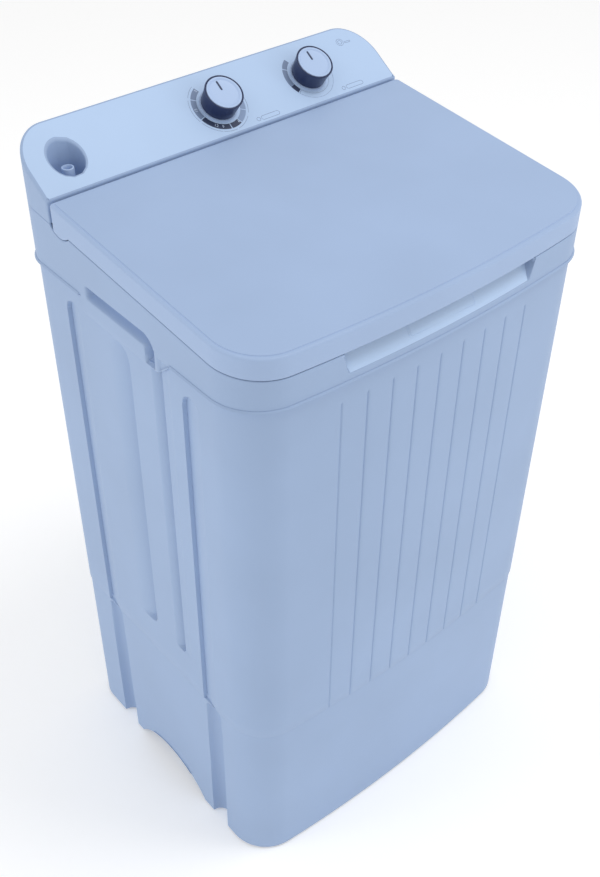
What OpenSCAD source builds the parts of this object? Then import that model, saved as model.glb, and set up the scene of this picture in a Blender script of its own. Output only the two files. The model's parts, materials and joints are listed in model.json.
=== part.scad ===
// Top load washing machine, single tub, with a pulsator driven by a belt.
// Origin: the middle of the footprint, on the floor. +X right, +Y back, +Z up. Millimetres.

/* [Overall] */
// Width over the lid and the top frame
width = 500; // [415:5:600]
// Depth from the middle of the bowed front to the back
depth = 421.2; // [350:0.2:510]
// Height of the console's back edge above the floor
height = 923; // [770:1:1110]
// How far the front bows out in the middle
front_bow = 9; // [2:0.5:20]
// Radius of the two front corners in plan
front_r = 60; // [40:1:70]
// Radius of the two back corners in plan
back_r = 44; // [25:1:50]

/* [Shells] */
// Wall of the moulded shells
wall = 3; // [2.5:0.1:4]
// Wall of the top frame's outer band
frame_wall = 2.5; // [2:0.1:3]
// Gap between shells that telescope
shell_fit = 0.1; // [0.05:0.05:0.5]
// How far the base stands in from the top frame's outline
base_inset = 4; // [3:0.5:8]
// Height of the seam between base and cabinet
base_h = 262; // [220:1:320]
// Height of the top frame's band at the front
band_h = 38; // [30:1:60]
// How far one shell reaches up inside the next
overlap = 12; // [6:1:20]
// Height of the base's floor above the ground
base_floor_z = 46; // [42:1:60]
// How far the rim of the base clears the ground
rim_gap = 3; // [2:0.5:6]

/* [Side flutes] */
// Depth of the outer two flutes
outer_flute_d = 7; // [3:0.5:10]
// Depth of the inner two flutes
inner_flute_d = 12; // [6:0.5:14]
// Height of the upper end of the flutes
flute_top_z = 760; // [600:1:770]
// Height of the lower end of the inner flutes
inner_flute_z = 320; // [290:1:400]
// Where the back flute fades in and where it ends steeply, from the middle
back_flute = [101, 125.6]; // [-150:0.1:150]
// Where the front flute fades in and where it ends steeply, from the middle
front_flute = [-118, -91.4]; // [-150:0.1:150]
// Where the wide inner flute fades in and where it ends steeply, from the middle
wide_flute = [44, 5.6]; // [-150:0.1:150]
// Where the narrow inner flute fades in and where it ends steeply, from the middle
narrow_flute = [-37.6, -55.4]; // [-150:0.1:150]
// Places of the half-round notches, from the middle
notch_places = [114.5, -109]; // [-150:0.1:150]
// Place of the arch, from the middle
arch_y = 5.4; // [-40:0.1:40]
// Half width of the half-round notches in the base
notch_r = 16; // [10:0.5:18]
// Width of the arch under each side
arch_w = 155; // [100:1:170]
// Height of the arch under each side
arch_h = 39; // [20:1:41]
// Number of fine grooves in the front
groove_count = 9; // [5:2:13]
// Spacing of the fine grooves
groove_pitch = 33.75; // [20:0.25:34]
// Width of a fine groove
groove_w = 2; // [1:0.1:3]

/* [Lid] */
// Fall of the lid from back to front, in degrees
lid_slope = 4.9; // [2:0.1:8]
// Depth of the lid's skirt
lid_skirt = 26.3; // [22:0.1:32]
// Wall of the lid
lid_wall = 2.5; // [2:0.1:3]
// Gap between the lid and the console
lid_gap = 2.5; // [2.5:0.1:4]
// Gap between the lid's skirt and the top frame
seam_gap = 0.8; // [0.4:0.1:2]
// Distance of the hinge axis in front of the console
hinge_back = 18.3; // [17:0.1:24]
// Distance of the hinge axis below the lid's back edge
hinge_drop = 10; // [9:0.1:11]
// Radius of the round hinge ears
ear_r = 25; // [22:0.5:28]
// Thickness of the hinge ears
ear_t = 12; // [8:0.5:16]
// Radius of the hinge pins
pin_r = 2; // [1.5:0.1:2.5]

/* [Console] */
// Depth of the console from its front edge to the back
console_d = 77.3; // [70:0.1:100]
// Slope of the fascia in degrees
console_tilt = 32.2; // [25:0.1:35]
// Distance of the knob shafts up the slope from the console's front edge
dial_up = 41; // [36:0.5:46]
// Place of the selector from the middle
selector_x = 135; // [110:1:150]
// Place of the water inlet from the middle, to the left
inlet_x = 202; // [150:1:204]
// Radius of the inlet funnel
funnel_r = 19.5; // [14:0.5:22]
// Outer radius of the inlet nozzle
nozzle_r = 6.8; // [5:0.1:9]
// Bore radius of the inlet nozzle
nozzle_bore_r = 4.6; // [3:0.1:6]

/* [Knobs] */
// Radius of a knob at its top
knob_r = 23.3; // [18:0.1:26]
// Height of a knob above the fascia
knob_h = 24; // [18:0.5:30]
// Gap under a knob
knob_gap = 0.8; // [0.5:0.1:2]
// Radius of the knob shafts
shaft_r = 3; // [2.5:0.1:4]
// Running clearance of a shaft in its bore
running = 0.05; // [0.01:0.01:0.1]
// Length of the selector's lever
lever_l = 22.5; // [20:0.5:26]

/* [Hand holds] */
// Front end of a side hand hold, measured forward of the middle
pocket_front = 38; // [20:1:60]
// Back end of a side hand hold, measured behind the middle
pocket_back = 85; // [50:1:100]
// Height of a side hand hold
pocket_h = 24; // [18:1:26]
// Depth of a side hand hold
pocket_d = 25; // [18:1:28]
// Width of the finger recess in the front
recess_w = 264; // [150:2:300]
// Depth of the finger recess in the front
recess_d = 15; // [10:1:18]
// Width of the blank plate in the finger recess
plate_w = 96; // [60:2:120]

/* [Tub] */
// Distance from the machine's side to the tub
tub_side = 36; // [33:1:50]
// Distance from the middle of the front to the tub
tub_front = 30; // [28:1:50]
// Distance from the console's front edge to the tub
tub_back = 8; // [7:1:20]
// Corner radius of the tub
tub_r = 60; // [40:1:60]
// Wall of the tub
tub_wall = 2.5; // [2:0.1:3.5]
// Height of the tub's floor
tub_floor_z = 300; // [298:1:360]
// Depth of the dish under the pulsator
dish_d = 16; // [12:1:20]
// Gap between the pulsator's dish and the tub's wall
dish_gap = 22; // [15:1:60]

/* [Drive] */
// Gap all round the pulsator in its dish
pulsator_gap = 4; // [2:0.5:8]
// Radius of the drive shaft
drive_r = 6; // [5:0.5:8]
// Outer radius of the bearings
bearing_r = 16; // [12:0.5:18]
// Distance between the drive shaft and the motor shaft
belt_centres = 130; // [120:1:136]
// Radius of the large pulley at the belt's inner face
large_pulley_r = 80; // [60:1:84]
// Radius of the motor pulley at the belt's inner face
small_pulley_r = 24; // [18:1:30]
// Thickness of the belt
belt_t = 6; // [5:0.5:8]
// Width of the belt
belt_w = 9; // [7:0.5:11]
// Height of the belt's middle line
belt_z = 212; // [208:1:216]

/* [Motor] */
// Radius of the motor's housing
motor_r = 55; // [45:1:56]
// Height of the motor's housing
motor_h = 94; // [70:1:110]
// Radius of the rotor
rotor_r = 36; // [28:0.5:38]
// Air gap between rotor and stator
air_gap = 1.5; // [0.5:0.1:3]
// Height of the motor plate's underside
motor_plate_z = 190; // [180:1:192]
// Thickness of the motor plate
plate_t = 2.5; // [2:0.1:4]
// Thickness of the rubber bushes under the motor plate
bush_t = 5; // [3:0.5:8]

/* [Drain] */
// Radius of the drain valve's body
valve_r = 24; // [20:0.5:26]
// Height that the drain valve's spring and plunger need when the valve is open
valve_room = 44; // [38:1:56]
// Lift of the drain valve
valve_lift = 12; // [6:0.5:13]
// Radius of the valve's rod
rod_r = 4; // [3:0.1:5]
// Outer radius of the drain hose and its spigot
drain_r = 14; // [10:0.5:15]
// Bore radius of the drain spigot
drain_bore_r = 11; // [7:0.5:12]

/* [Back] */
// Width of the rear cover
cover_w = 330; // [240:2:380]
// Lower edge of the rear cover
cover_z0 = 305; // [290:1:340]
// Upper edge of the rear cover
cover_z1 = 715; // [500:1:720]
// Depth of the rebate that holds the rear cover
rebate_d = 4; // [3.5:0.1:5]
// Thickness of the rear cover
cover_t = 2.5; // [2:0.1:3]
// Distance of the rear cover's corner screws from the sides of its opening
cover_screw_in = 16.5; // [12:0.5:40]
// Number of air slots in the rear cover
slot_count = 8; // [4:1:10]
// Spacing of the air slots
slot_pitch = 14; // [10:0.5:16]
// Height of an air slot
slot_h = 6; // [3:0.5:8]
// Bore radius of the cord gland
gland_bore_r = 4.2; // [3:0.1:5]

/* [Fasteners] */
// Shank radius of the self-tapping screws
screw_r = 1.9; // [1.5:0.1:2.2]
// Head radius of the self-tapping screws
screw_head_r = 4; // [3:0.1:5]
// Head height of the self-tapping screws
screw_head_h = 1.4; // [1.2:0.1:1.5]
// Shank radius of the motor plate's bolts
bolt_r = 3; // [2.5:0.1:4]
// Distance of the outer base screws from the machine's sides
base_screw_in = 80; // [60:1:120]
// Distance of the rubber feet from the sides, the front and the back
foot_in = 48; // [44:1:80]
// Radius of the rubber feet
foot_r = 17; // [12:0.5:20]
// Height of the rubber feet
foot_h = 9; // [6:0.5:14]

/* [Hidden] */
$fn = 64;

// Levels and planes
back_y = depth / 2;
console_y = back_y - console_d;
fascia_z = height - console_d * tan(console_tilt);
seam_z = fascia_z - lid_skirt;
front_y = -back_y + front_bow;
band_z = seam_z + (front_y - console_y) * tan(lid_slope) - band_h;
deck_drop = 10;
deck_t = 3;
lid_y = console_y - lid_gap;
hinge_y = console_y - hinge_back;
hinge_z = fascia_z - hinge_drop;
cabinet_inset = frame_wall + shell_fit;
lip_inset = cabinet_inset + wall + shell_fit;

// The bowed front is one long arc that is tangent to both corner arcs
half_flat = width / 2 - front_r;
bow_r = (half_flat * half_flat + front_bow * front_bow) / (2 * front_bow);
bow_y = bow_r - back_y;
corner_y = bow_y - sqrt(pow(bow_r - front_r, 2) - pow(half_flat, 2));
bow_half = asin(half_flat / (bow_r - front_r));

// Tub, drive, motor, valve
tub_x = width / 2 - tub_side;
tub_y0 = -back_y + tub_front;
tub_y1 = console_y - tub_back;
axis_y = (tub_y0 + tub_y1) / 2;
dish_r = min(tub_x, (tub_y1 - tub_y0) / 2) - dish_gap;
dish_z = tub_floor_z - dish_d;
pulsator_r = dish_r - pulsator_gap;
housing_top = dish_z - 3;
housing_z = belt_z + belt_w / 2 + 10;
shaft_z0 = belt_z - 13;
dial_y = console_y + dial_up * cos(console_tilt);
dial_z = fascia_z + dial_up * sin(console_tilt);
lever_drop = 32;
valve_x = selector_x;
valve_y = dial_y - lever_l * cos(console_tilt) + lever_drop * sin(console_tilt);
lever_tip_z = dial_z - lever_l * sin(console_tilt) - lever_drop * cos(console_tilt);
valve_z = tub_floor_z - 8;
valve_h = valve_room + valve_lift;
port_z = tub_floor_z + drain_r + 4;
spigot_z = 110;
recess_depth = 45;
recess_half = 35;
post_dx = 48;
post_dy = 52;
post_r = 9;
foot_x = width / 2 - foot_in;
foot_y = back_y - foot_in;
cap_x = -70;
cap_y = back_y - 55;
cap_r = 20;
gland_x = -115;
gland_z = cover_z0 + 35;
spout_x = -(tub_x - tub_r - 12);
spout_z = seam_z - deck_drop - 26;
loose = 0.3;
hose_gap = 0.4;
straight = 4;
slot_z = 60;
slot_half = 90;
floor_slot_half = 40;
floor_slot_pitch = 12;
small_hub_r = 12;
large_hub_r = 17;

// A point at angle a on the circle about c
function arc_point(c, r, a) = [c[0] + r * cos(a), c[1] + r * sin(a)];
// The front edge's place at x
function bow_front(x) = bow_y - sqrt(bow_r * bow_r - x * x);
// Height of the seam plane at y
function seam_at(y) = seam_z + (y - console_y) * tan(lid_slope);
// Height of the fascia at y
function fascia_at(y) = fascia_z + (y - console_y) * tan(console_tilt);

// The machine's outline in plan, moved in by inset
module outline(inset) {
    half = width / 2;
    polygon(concat(
        [for (a = [-90 - bow_half:bow_half / 8:-90 + bow_half + 0.01])
            arc_point([0, bow_y], bow_r - inset, a)],
        [for (i = [1:12])
            arc_point([half_flat, corner_y], front_r - inset, -90 + bow_half + i * (90 - bow_half) / 12)],
        [for (i = [0:12]) arc_point([half - back_r, back_y - back_r], back_r - inset, i * 7.5)],
        [for (i = [0:12]) arc_point([back_r - half, back_y - back_r], back_r - inset, 90 + i * 7.5)],
        [for (i = [0:11])
            arc_point([-half_flat, corner_y], front_r - inset, 180 + i * (90 - bow_half) / 12)]
    ));
}

// An upright prism of the outline
module column(inset, z0, z1) {
    translate([0, 0, z0]) linear_extrude(z1 - z0) outline(inset);
}

// The layer between two heights over the sloped seam plane
module sloped(h0, h1) {
    translate([0, console_y, seam_z]) rotate([lid_slope, 0, 0])
        translate([-width, -1.2 * depth, h0]) cube([2 * width, 2 * depth, h1 - h0]);
}

// The layer between two heights over the fascia's plane
module tilted(h0, h1) {
    translate([0, console_y, fascia_z]) rotate([console_tilt, 0, 0])
        translate([-width, -depth, h0]) cube([2 * width, 3 * depth, h1 - h0]);
}

// Places its children on the fascia at a knob, with +Z out of the fascia
module on_fascia(x) {
    translate([x, dial_y, dial_z]) rotate([console_tilt, 0, 0]) children();
}

// Its children on the right and, mirrored, on the left
module both_sides() {
    children();
    mirror([1, 0, 0]) children();
}

// A box from one corner to the other
module span(low, high) {
    translate(low) cube(high - low);
}

// A rod from one point along an axis of the machine
module rod(p, r, l, turn = [0, 0, 0]) {
    translate(p) rotate(turn) cylinder(r = r, h = l);
}

// A rounded rectangle in plan
module rounded(x0, y0, x1, y1, r) {
    translate([x0 + r, y0]) square([x1 - x0 - 2 * r, y1 - y0]);
    translate([x0, y0 + r]) square([x1 - x0, y1 - y0 - 2 * r]);
    for (x = [x0 + r, x1 - r], y = [y0 + r, y1 - r]) translate([x, y]) circle(r);
}

// A screw whose head sits on the origin, with its shank along -Z
module screw(l) {
    cylinder(r = screw_head_r, h = screw_head_h);
    translate([0, 0, -l]) cylinder(r = screw_r, h = l + 0.5);
}

// A round tube or rod swept along a list of points
module sweep(points, r, bore = 0, sides = 10) {
    n = len(points);
    ahead = [for (i = [0:n - 1]) unit(points[min(i + 1, n - 1)] - points[max(i - 1, 0)])];
    side = [for (v = ahead) unit(abs(v[0]) > 0.9 ? cross([0, 1, 0], v) : cross([1, 0, 0], v))];
    up = [for (i = [0:n - 1]) cross(ahead[i], side[i])];
    rings = [for (i = [0:n - 1], k = [0:sides - 1])
        points[i] + r * (cos(360 * k / sides) * side[i] + sin(360 * k / sides) * up[i])];
    skin = [for (i = [0:n - 2], k = [0:sides - 1])
        [i * sides + k, (i + 1) * sides + k,
         (i + 1) * sides + (k + 1) % sides, i * sides + (k + 1) % sides]];
    ends = [[for (k = [0:sides - 1]) k], [for (k = [0:sides - 1]) n * sides - 1 - k]];
    polyhedron(rings, concat(skin, ends), convexity = 6);
}
function unit(v) = v / norm(v);

// A smooth curve through a list of points (Catmull-Rom), with steps points to a stretch
function curve(p, steps = 5) = [
    for (i = [0:len(p) - 2], k = [0:steps - 1]) through(p, i, k / steps),
    p[len(p) - 1]
];
function through(p, i, t) = let (
    a = p[max(i - 1, 0)], b = p[i], c = p[i + 1], d = p[min(i + 2, len(p) - 1)]
) 0.5 * (2 * b + (c - a) * t + (2 * a - 5 * b + 4 * c - d) * t * t + (3 * b - 3 * c + d - a) * t * t * t);

// ---- Lid ----
// Side view of the skirt: the strip between seam and top, and the round ear
module lid_solid() {
    difference() {
        union() {
            intersection() {
                column(0, seam_z - 2 * lid_skirt, fascia_z);
                sloped(seam_gap, lid_skirt);
            }
            both_sides() intersection() {
                rod([width / 2 - ear_t, hinge_y, hinge_z], ear_r, ear_t, [0, 90, 0]);
                sloped(-lid_skirt, lid_skirt);
            }
        }
        span([-width, lid_y, 0], [width, depth, height]);
        // The back edge is chamfered so that it clears the console as it turns
        translate([0, lid_y, fascia_z]) rotate([45, 0, 0]) cube([2 * width, 4.5, 4.5], center = true);
    }
}

module lid() color("aliceblue") difference() {
    lid_solid();
    difference() {
        intersection() {
            column(lid_wall, 0, fascia_z);
            sloped(-2 * lid_skirt, lid_skirt - lid_wall);
            span([-width, -depth, 0], [width, lid_y - lid_wall, height]);
        }
        both_sides() span([width / 2 - ear_t, hinge_y - ear_r, 0], [width, depth, height]);
    }
    // The back flange is short, and stops before the hinge lugs
    span([-width / 2 + ear_t, lid_y - 2 * lid_wall, 0], [width / 2 - ear_t, depth, hinge_z + 2]);
    both_sides() span([width / 2 - ear_t - 14, lid_y - 2 * lid_wall, 0],
        [width / 2 - ear_t, lid_y + 1, fascia_z - 5]);
    both_sides() rod([width / 2 - ear_t - 1, hinge_y, hinge_z], pin_r + running, ear_t - 2, [0, 90, 0]);
}

module hinge_pins() color("silver") both_sides()
    rod([width / 2 - ear_t - 10, hinge_y, hinge_z], pin_r, 18, [0, 90, 0]);

// ---- Console ----
module console() color("lightsteelblue") difference() {
    union() {
        difference() {
            intersection() {
                column(0, 0, height);
                sloped(0, height);
                span([-width, console_y, 0], [width, depth, height]);
                tilted(-height, 0);
            }
            intersection() {
                column(wall, 0, height);
                span([-width, console_y + wall, 0], [width, depth, height]);
                tilted(-height, -wall);
            }
        }
        intersection() {
            console_bosses();
            tilted(-height, -wall / 2);
            sloped(-deck_drop, height);
        }
    }
    rod([-inlet_x, dial_y, fascia_z - 10], funnel_r, 100);
    rod([-inlet_x, dial_y, fascia_z - 20], nozzle_r + 1.2 + shell_fit, 100);
    for (x = [0, selector_x]) on_fascia(x) translate([0, 0, -20]) cylinder(r = shaft_r + 1, h = 40);
    console_screw_places() translate([0, 0, -1]) cylinder(r = screw_r, h = 16);
}

module console_bosses() {
    rod([-inlet_x, dial_y, fascia_z - 12], funnel_r + wall, 60);
    console_screw_places() cylinder(r = 5, h = 80);
}

// Upright screws through the top frame's deck into the console
module console_screw_places() {
    y = console_y + 14;
    for (x = [-60, 70]) translate([x, y, seam_at(y) - deck_drop]) children();
    both_sides() translate([width / 2 - 74, back_y - 14, seam_at(back_y - 14) - deck_drop]) children();
}

module console_screws() color("silver") console_screw_places()
    translate([0, 0, -deck_t - 0.4]) mirror([0, 0, 1]) screw(12);

// A knob: a dark body with a D-shaped socket for its shaft
module knob_body() {
    difference() {
        union() {
            translate([0, 0, knob_gap]) cylinder(r = knob_r - 0.3, h = 3);
            translate([0, 0, knob_gap + 2])
                cylinder(r1 = knob_r - 1.6, r2 = knob_r, h = knob_h - knob_gap - 4);
        }
        translate([0, 0, 4]) cylinder(r = shaft_r + 0.02, h = knob_h);
        translate([0, 0, -1]) cylinder(r = shaft_r + 0.02, h = knob_h);
        translate([0, 0, knob_h - 6]) cylinder(r = knob_r - 2, h = 10);
    }
}

// The light cap in the top of a knob, dished in the middle
module knob_cap() {
    difference() {
        translate([0, 0, knob_h - 6]) cylinder(r = knob_r - 2, h = 6);
        translate([0, 0, knob_h + 130]) sphere(r = 131.2, $fn = 180);
    }
}

module shaft_and_flat(z0, z1) {
    translate([0, 0, z0]) cylinder(r = shaft_r, h = z1 - z0);
}

module timer_knob() color("midnightblue") on_fascia(0) knob_body();
module timer_cap() color("aliceblue") on_fascia(0) knob_cap();
module timer_shaft() color("silver") on_fascia(0) shaft_and_flat(-32, knob_h - 6);

module timer_body() color("ivory") on_fascia(0) difference() {
    union() {
        translate([-23, -20, -27]) cube([46, 40, 20]);
        translate([0, 0, -7]) cylinder(r = 8, h = 7 - wall);
    }
    translate([0, 0, -40]) cylinder(r = shaft_r + running, h = 60);
    for (x = [-18, 18]) translate([x, -25, -22]) cube([2, 50, 6]);
}

module selector_knob() color("midnightblue") on_fascia(selector_x) knob_body();
module selector_cap() color("aliceblue") on_fascia(selector_x) knob_cap();

module selector_shaft() color("silver") on_fascia(selector_x) {
    shaft_and_flat(-lever_drop - 2, knob_h - 6);
    translate([0, 0, -lever_drop - 2]) cylinder(r = 7, h = 4);
    translate([-4, -lever_l, -lever_drop - 2]) cube([8, lever_l, 4]);
    translate([0, -lever_l, -lever_drop - 2]) cylinder(r = 4, h = 4);
}

module selector_body() color("ivory") on_fascia(selector_x) difference() {
    union() {
        translate([-20, -18, -21]) cube([40, 36, 14]);
        translate([0, 0, -7]) cylinder(r = 8, h = 7 - wall);
    }
    translate([0, 0, -40]) cylinder(r = shaft_r + running, h = 60);
}

// ---- Water inlet ----
module inlet_nozzle() color("aliceblue") difference() {
    union() {
        rod([-inlet_x, dial_y, fascia_z - 24], nozzle_r, 34);
        rod([-inlet_x, dial_y, fascia_z - 15], nozzle_r + 1.2, 5);
        rod([-inlet_x, dial_y, fascia_z - 15], nozzle_r + 4, 3);
    }
    rod([-inlet_x, dial_y, fascia_z - 30], nozzle_bore_r, 60);
}

module inlet_hose() color("dimgray") sweep(curve([
    [-inlet_x, dial_y, fascia_z - 24 - hose_gap], [-inlet_x, dial_y, fascia_z - 24 - straight],
    [-inlet_x, dial_y, fascia_z - 38], [(spout_x - inlet_x) / 2, dial_y - 6, spout_z + 8],
    [spout_x, tub_y1 + 24, spout_z], [spout_x, tub_y1 + 10 + straight, spout_z],
    [spout_x, tub_y1 + 10 + hose_gap, spout_z]
]), nozzle_r);

module inlet_spout() color("aliceblue") difference() {
    union() {
        rod([spout_x, tub_y1 + 10, spout_z], nozzle_r, 22, [90, 0, 0]);
        rod([spout_x, tub_y1 + 3, spout_z], nozzle_r + 4, 3, [90, 0, 0]);
    }
    rod([spout_x, tub_y1 + 20, spout_z], nozzle_bore_r, 60, [90, 0, 0]);
}

// ---- Top frame ----
module tub_opening(inset, z0, z1) {
    translate([0, 0, z0]) linear_extrude(z1 - z0)
        rounded(-tub_x + inset, tub_y0 + inset, tub_x - inset, tub_y1 - inset, tub_r - inset);
}

module hand_pocket(grow) {
    z1 = band_z + 4 + pocket_h;
    span([width / 2 - pocket_d - grow, -pocket_front - grow, z1 - pocket_h - grow],
        [width / 2 + 10 * (1 - sign(grow)), pocket_back + grow, z1 + grow]);
}

module finger_recess(grow) {
    z1 = seam_at(front_y) - 2;
    y0 = bow_front(0) + recess_d;
    span([-recess_w / 2 - grow, -depth, z1 - 24 - grow], [recess_w / 2 + grow, y0 + grow, z1]);
}

module top_frame() color("lightsteelblue") difference() {
    union() {
        intersection() {
            sloped(-4 * band_h, 0);
            union() {
                difference() {
                    column(0, band_z, seam_z + 20);
                    column(frame_wall, 0, height);
                }
                intersection() {
                    column(frame_wall / 2, 0, height);
                    sloped(-deck_drop - deck_t, -deck_drop);
                }
                intersection() {
                    column(0.2, band_z, height);
                    union() {
                        both_sides() hand_pocket(2);
                        finger_recess(2);
                    }
                }
                difference() {
                    tub_opening(tub_wall + 0.5, seam_z - 90, seam_z);
                    tub_opening(tub_wall + 3, seam_z - 100, height);
                    sloped(-200, -deck_drop - 14);
                }
            }
        }
        both_sides() {
            rod([width / 2 - ear_t - 10, hinge_y, hinge_z], 5.5, 9, [0, 90, 0]);
            span([width / 2 - ear_t - 10, hinge_y - 5.5, seam_at(hinge_y) - deck_drop - 1],
                [width / 2 - ear_t - 1, hinge_y + 3, hinge_z]);
        }
    }
    tub_opening(tub_wall + 3, 0, height);
    both_sides() hand_pocket(0);
    finger_recess(0);
    // Round troughs for the lid's ears
    both_sides() intersection() {
        rod([width / 2 - ear_t - 0.6, hinge_y, hinge_z], ear_r + 0.6, 40, [0, 90, 0]);
        span([0, -depth, 0], [width, console_y - 0.5, height]);
    }
    both_sides() rod([width / 2 - ear_t - 11, hinge_y, hinge_z], pin_r, 12, [0, 90, 0]);
    // Ways through the deck under the console
    rod([valve_x, valve_y, seam_z - 40], rod_r + 3, 80);
    rod([-inlet_x, dial_y, seam_z - 40], nozzle_r + 4, 80);
    span([-25, dial_y - 8, seam_z - 40], [25, back_y - 16, seam_z + 40]);
    console_screw_places() translate([0, 0, -10]) cylinder(r = screw_r + 0.3, h = 20);
}

// The blank plate in the finger recess
module blank_plate() color("powderblue") {
    z = seam_at(front_y) - 2 - 20;
    y = bow_front(0) + recess_d;
    span([-plate_w / 2, y - 1.5, z], [plate_w / 2, y, z + 16]);
}

// ---- Cabinet ----
// A flute is a list of [y, depth] points, from where it fades in to its steep end
function ramp(y, d, bend) = [for (i = [0:6]) [y[0] + (y[1] - y[0]) * i / 6, d * pow(i / 6, bend)]];

module flute(points, inset, z0, z1, grow) {
    last = points[len(points) - 1];
    step = grow * sign(last[0] - points[0][0]);
    x = width / 2 - inset;
    translate([0, 0, z0 - grow]) linear_extrude(z1 - z0 + 2 * grow) polygon(concat(
        [[x + 5, points[0][0]]],
        [for (p = points) [x - p[1] - grow, p[0]]],
        [[x - last[1] - grow, last[0] + step], [x + 5, last[0] + step]]
    ));
}

module flutes(inset, grow) both_sides() {
    flute(ramp(back_flute, outer_flute_d, 1), inset, base_h - 20, flute_top_z, grow);
    flute(ramp(front_flute, outer_flute_d, 1), inset, base_h - 20, flute_top_z, grow);
    flute(ramp(wide_flute, inner_flute_d, 2), inset, inner_flute_z, flute_top_z, grow);
    flute(ramp(narrow_flute, inner_flute_d, 1.4), inset, inner_flute_z, band_z, grow);
}

module rear_rebate(grow) {
    span([-cover_w / 2 - 8 - grow, back_y - cabinet_inset - rebate_d - grow, cover_z0 - 8 - grow],
        [cover_w / 2 + 8 + grow, depth, cover_z1 + 8 + grow]);
}

module front_grooves() {
    middle = (groove_count - 1) / 2;
    for (i = [-middle:middle]) translate([i * groove_pitch, bow_front(i * groove_pitch) + cabinet_inset, 0])
        span([-groove_w / 2, -5, base_h - 1], [groove_w / 2, 1, flute_top_z]);
}

module cabinet() color("lightsteelblue") difference() {
    column(cabinet_inset, base_h, band_z + overlap);
    flutes(cabinet_inset, 0);
    rear_rebate(0);
    front_grooves();
    difference() {
        column(cabinet_inset + wall, base_h - 1, height);
        flutes(cabinet_inset, wall);
        rear_rebate(wall);
    }
    // Room above the band's lower edge for the hand holds and the finger recess
    both_sides() hand_pocket(2 + loose);
    finger_recess(2 + loose);
    span([-cover_w / 2, 0, cover_z0], [cover_w / 2, depth, cover_z1]);
    base_screw_places() translate([0, 0, -10]) cylinder(r = screw_r + 0.1, h = 20);
    cover_screw_places() translate([0, 0, -10]) cylinder(r = screw_r, h = 20);
}

// ---- Base ----
module notches(grow) both_sides() for (y = notch_places) {
    rod([width / 2 - base_inset, y, -1], notch_r + grow, base_h - notch_r);
    translate([width / 2 - base_inset, y, base_h - notch_r - 1]) sphere(r = notch_r + grow);
}

module arches() {
    r = (pow(arch_w / 2, 2) + pow(arch_h, 2)) / (2 * arch_h);
    both_sides() rod([width / 2 - 30, arch_y, rim_gap + arch_h - r], r, 60, [0, 90, 0]);
}

module outlet_recess(grow) {
    span([valve_x - recess_half - grow, back_y - recess_depth - grow, spigot_z - recess_half - grow],
        [valve_x + recess_half + grow, depth, spigot_z + recess_half + grow]);
}

module motor_posts(r, z0, z1) {
    for (x = [-post_dx, post_dx], y = [-post_dy, post_dy])
        rod([belt_centres + x, axis_y + y, z0], r, z1 - z0);
}

module base() color("lightsteelblue") difference() {
    union() {
        difference() {
            column(base_inset, rim_gap, base_h);
            difference() {
                column(base_inset + wall, -1, height);
                notches(wall);
                outlet_recess(wall);
            }
        }
        difference() {
            column(lip_inset, base_h - 8, base_h + overlap);
            column(lip_inset + wall, 0, height);
            flutes(cabinet_inset, wall + loose);
        }
        column(base_inset + wall / 2, base_floor_z, base_floor_z + wall);
        motor_posts(post_r, base_floor_z, motor_plate_z - bush_t);
        for (x = [-foot_x, foot_x], y = [-foot_y, foot_y])
            rod([x, y, rim_gap], foot_r + wall, base_floor_z);
    }
    notches(0);
    arches();
    outlet_recess(0);
    for (x = [-foot_x, foot_x], y = [-foot_y, foot_y]) rod([x, y, -1], foot_r, foot_h + 1);
    motor_posts(bolt_r, motor_plate_z - 40, motor_plate_z);
    rod([valve_x, back_y - recess_depth - 10, spigot_z], drain_r, 20, [-90, 0, 0]);
    base_screw_places() translate([0, 0, -20]) cylinder(r = screw_r, h = 30);
    // Air slots under the motor
    for (i = [-3:3]) translate([belt_centres, axis_y + i * floor_slot_pitch, 0])
        span([-floor_slot_half, -2.5, 0], [floor_slot_half, 2.5, base_floor_z + 10]);
}

// Screws through the back of the cabinet into the base's lip, head outwards
module base_screw_places() {
    dx = width / 2 - base_screw_in;
    for (x = [-dx, -dx / 3, dx / 3, dx]) translate([x, back_y - cabinet_inset, base_h + 6])
        rotate([-90, 0, 0]) children();
}
module base_screws() color("silver") base_screw_places() screw(wall + 4);

module rubber_feet() color("dimgray")
    for (x = [-foot_x, foot_x], y = [-foot_y, foot_y]) rod([x, y, 0], foot_r, foot_h);

// ---- Tub ----
module tub() color("white") difference() {
    union() {
        difference() {
            tub_opening(0, tub_floor_z - tub_wall, seam_z);
            tub_opening(tub_wall, tub_floor_z, height);
            sloped(-deck_drop - deck_t, 200);
        }
        intersection() {
            difference() {
                tub_opening(-5, 0, height);
                tub_opening(0, 0, height);
            }
            sloped(-deck_drop - deck_t - 3, -deck_drop - deck_t);
        }
        rod([0, axis_y, dish_z - 3], dish_r + 3, dish_d + 3);
    }
    rod([0, axis_y, dish_z], dish_r, 40);
    rod([0, axis_y, 0], bearing_r + 4.2, height / 2);
    housing_screw_places() cylinder(r = screw_r, h = 2);
    rod([valve_x, tub_y1 - 10, port_z], drain_r, 30, [-90, 0, 0]);
    rod([spout_x, tub_y1 - 10, spout_z], nozzle_r, 30, [-90, 0, 0]);
}

// The slotted cover over the drain port and the overflow way in the tub's back wall
module overflow_cover() color("white") {
    half = drain_r + 4;
    top = seam_z - 120;
    y = tub_y1 - tub_wall;
    difference() {
        span([valve_x - half, y - 14, tub_floor_z], [valve_x + half, y, top]);
        span([valve_x - half + 2, y - 12, 0], [valve_x + half - 2, y + 1, top - 2]);
        for (i = [0:9]) span([valve_x - half + 5, y - 20, tub_floor_z + 10 + i * 10],
            [valve_x + half - 5, y - 5, tub_floor_z + 15 + i * 10]);
        for (i = [0:3]) span([valve_x - half + 5, y - 20, top - 50 + i * 10],
            [valve_x + half - 5, y - 5, top - 45 + i * 10]);
    }
}

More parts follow.
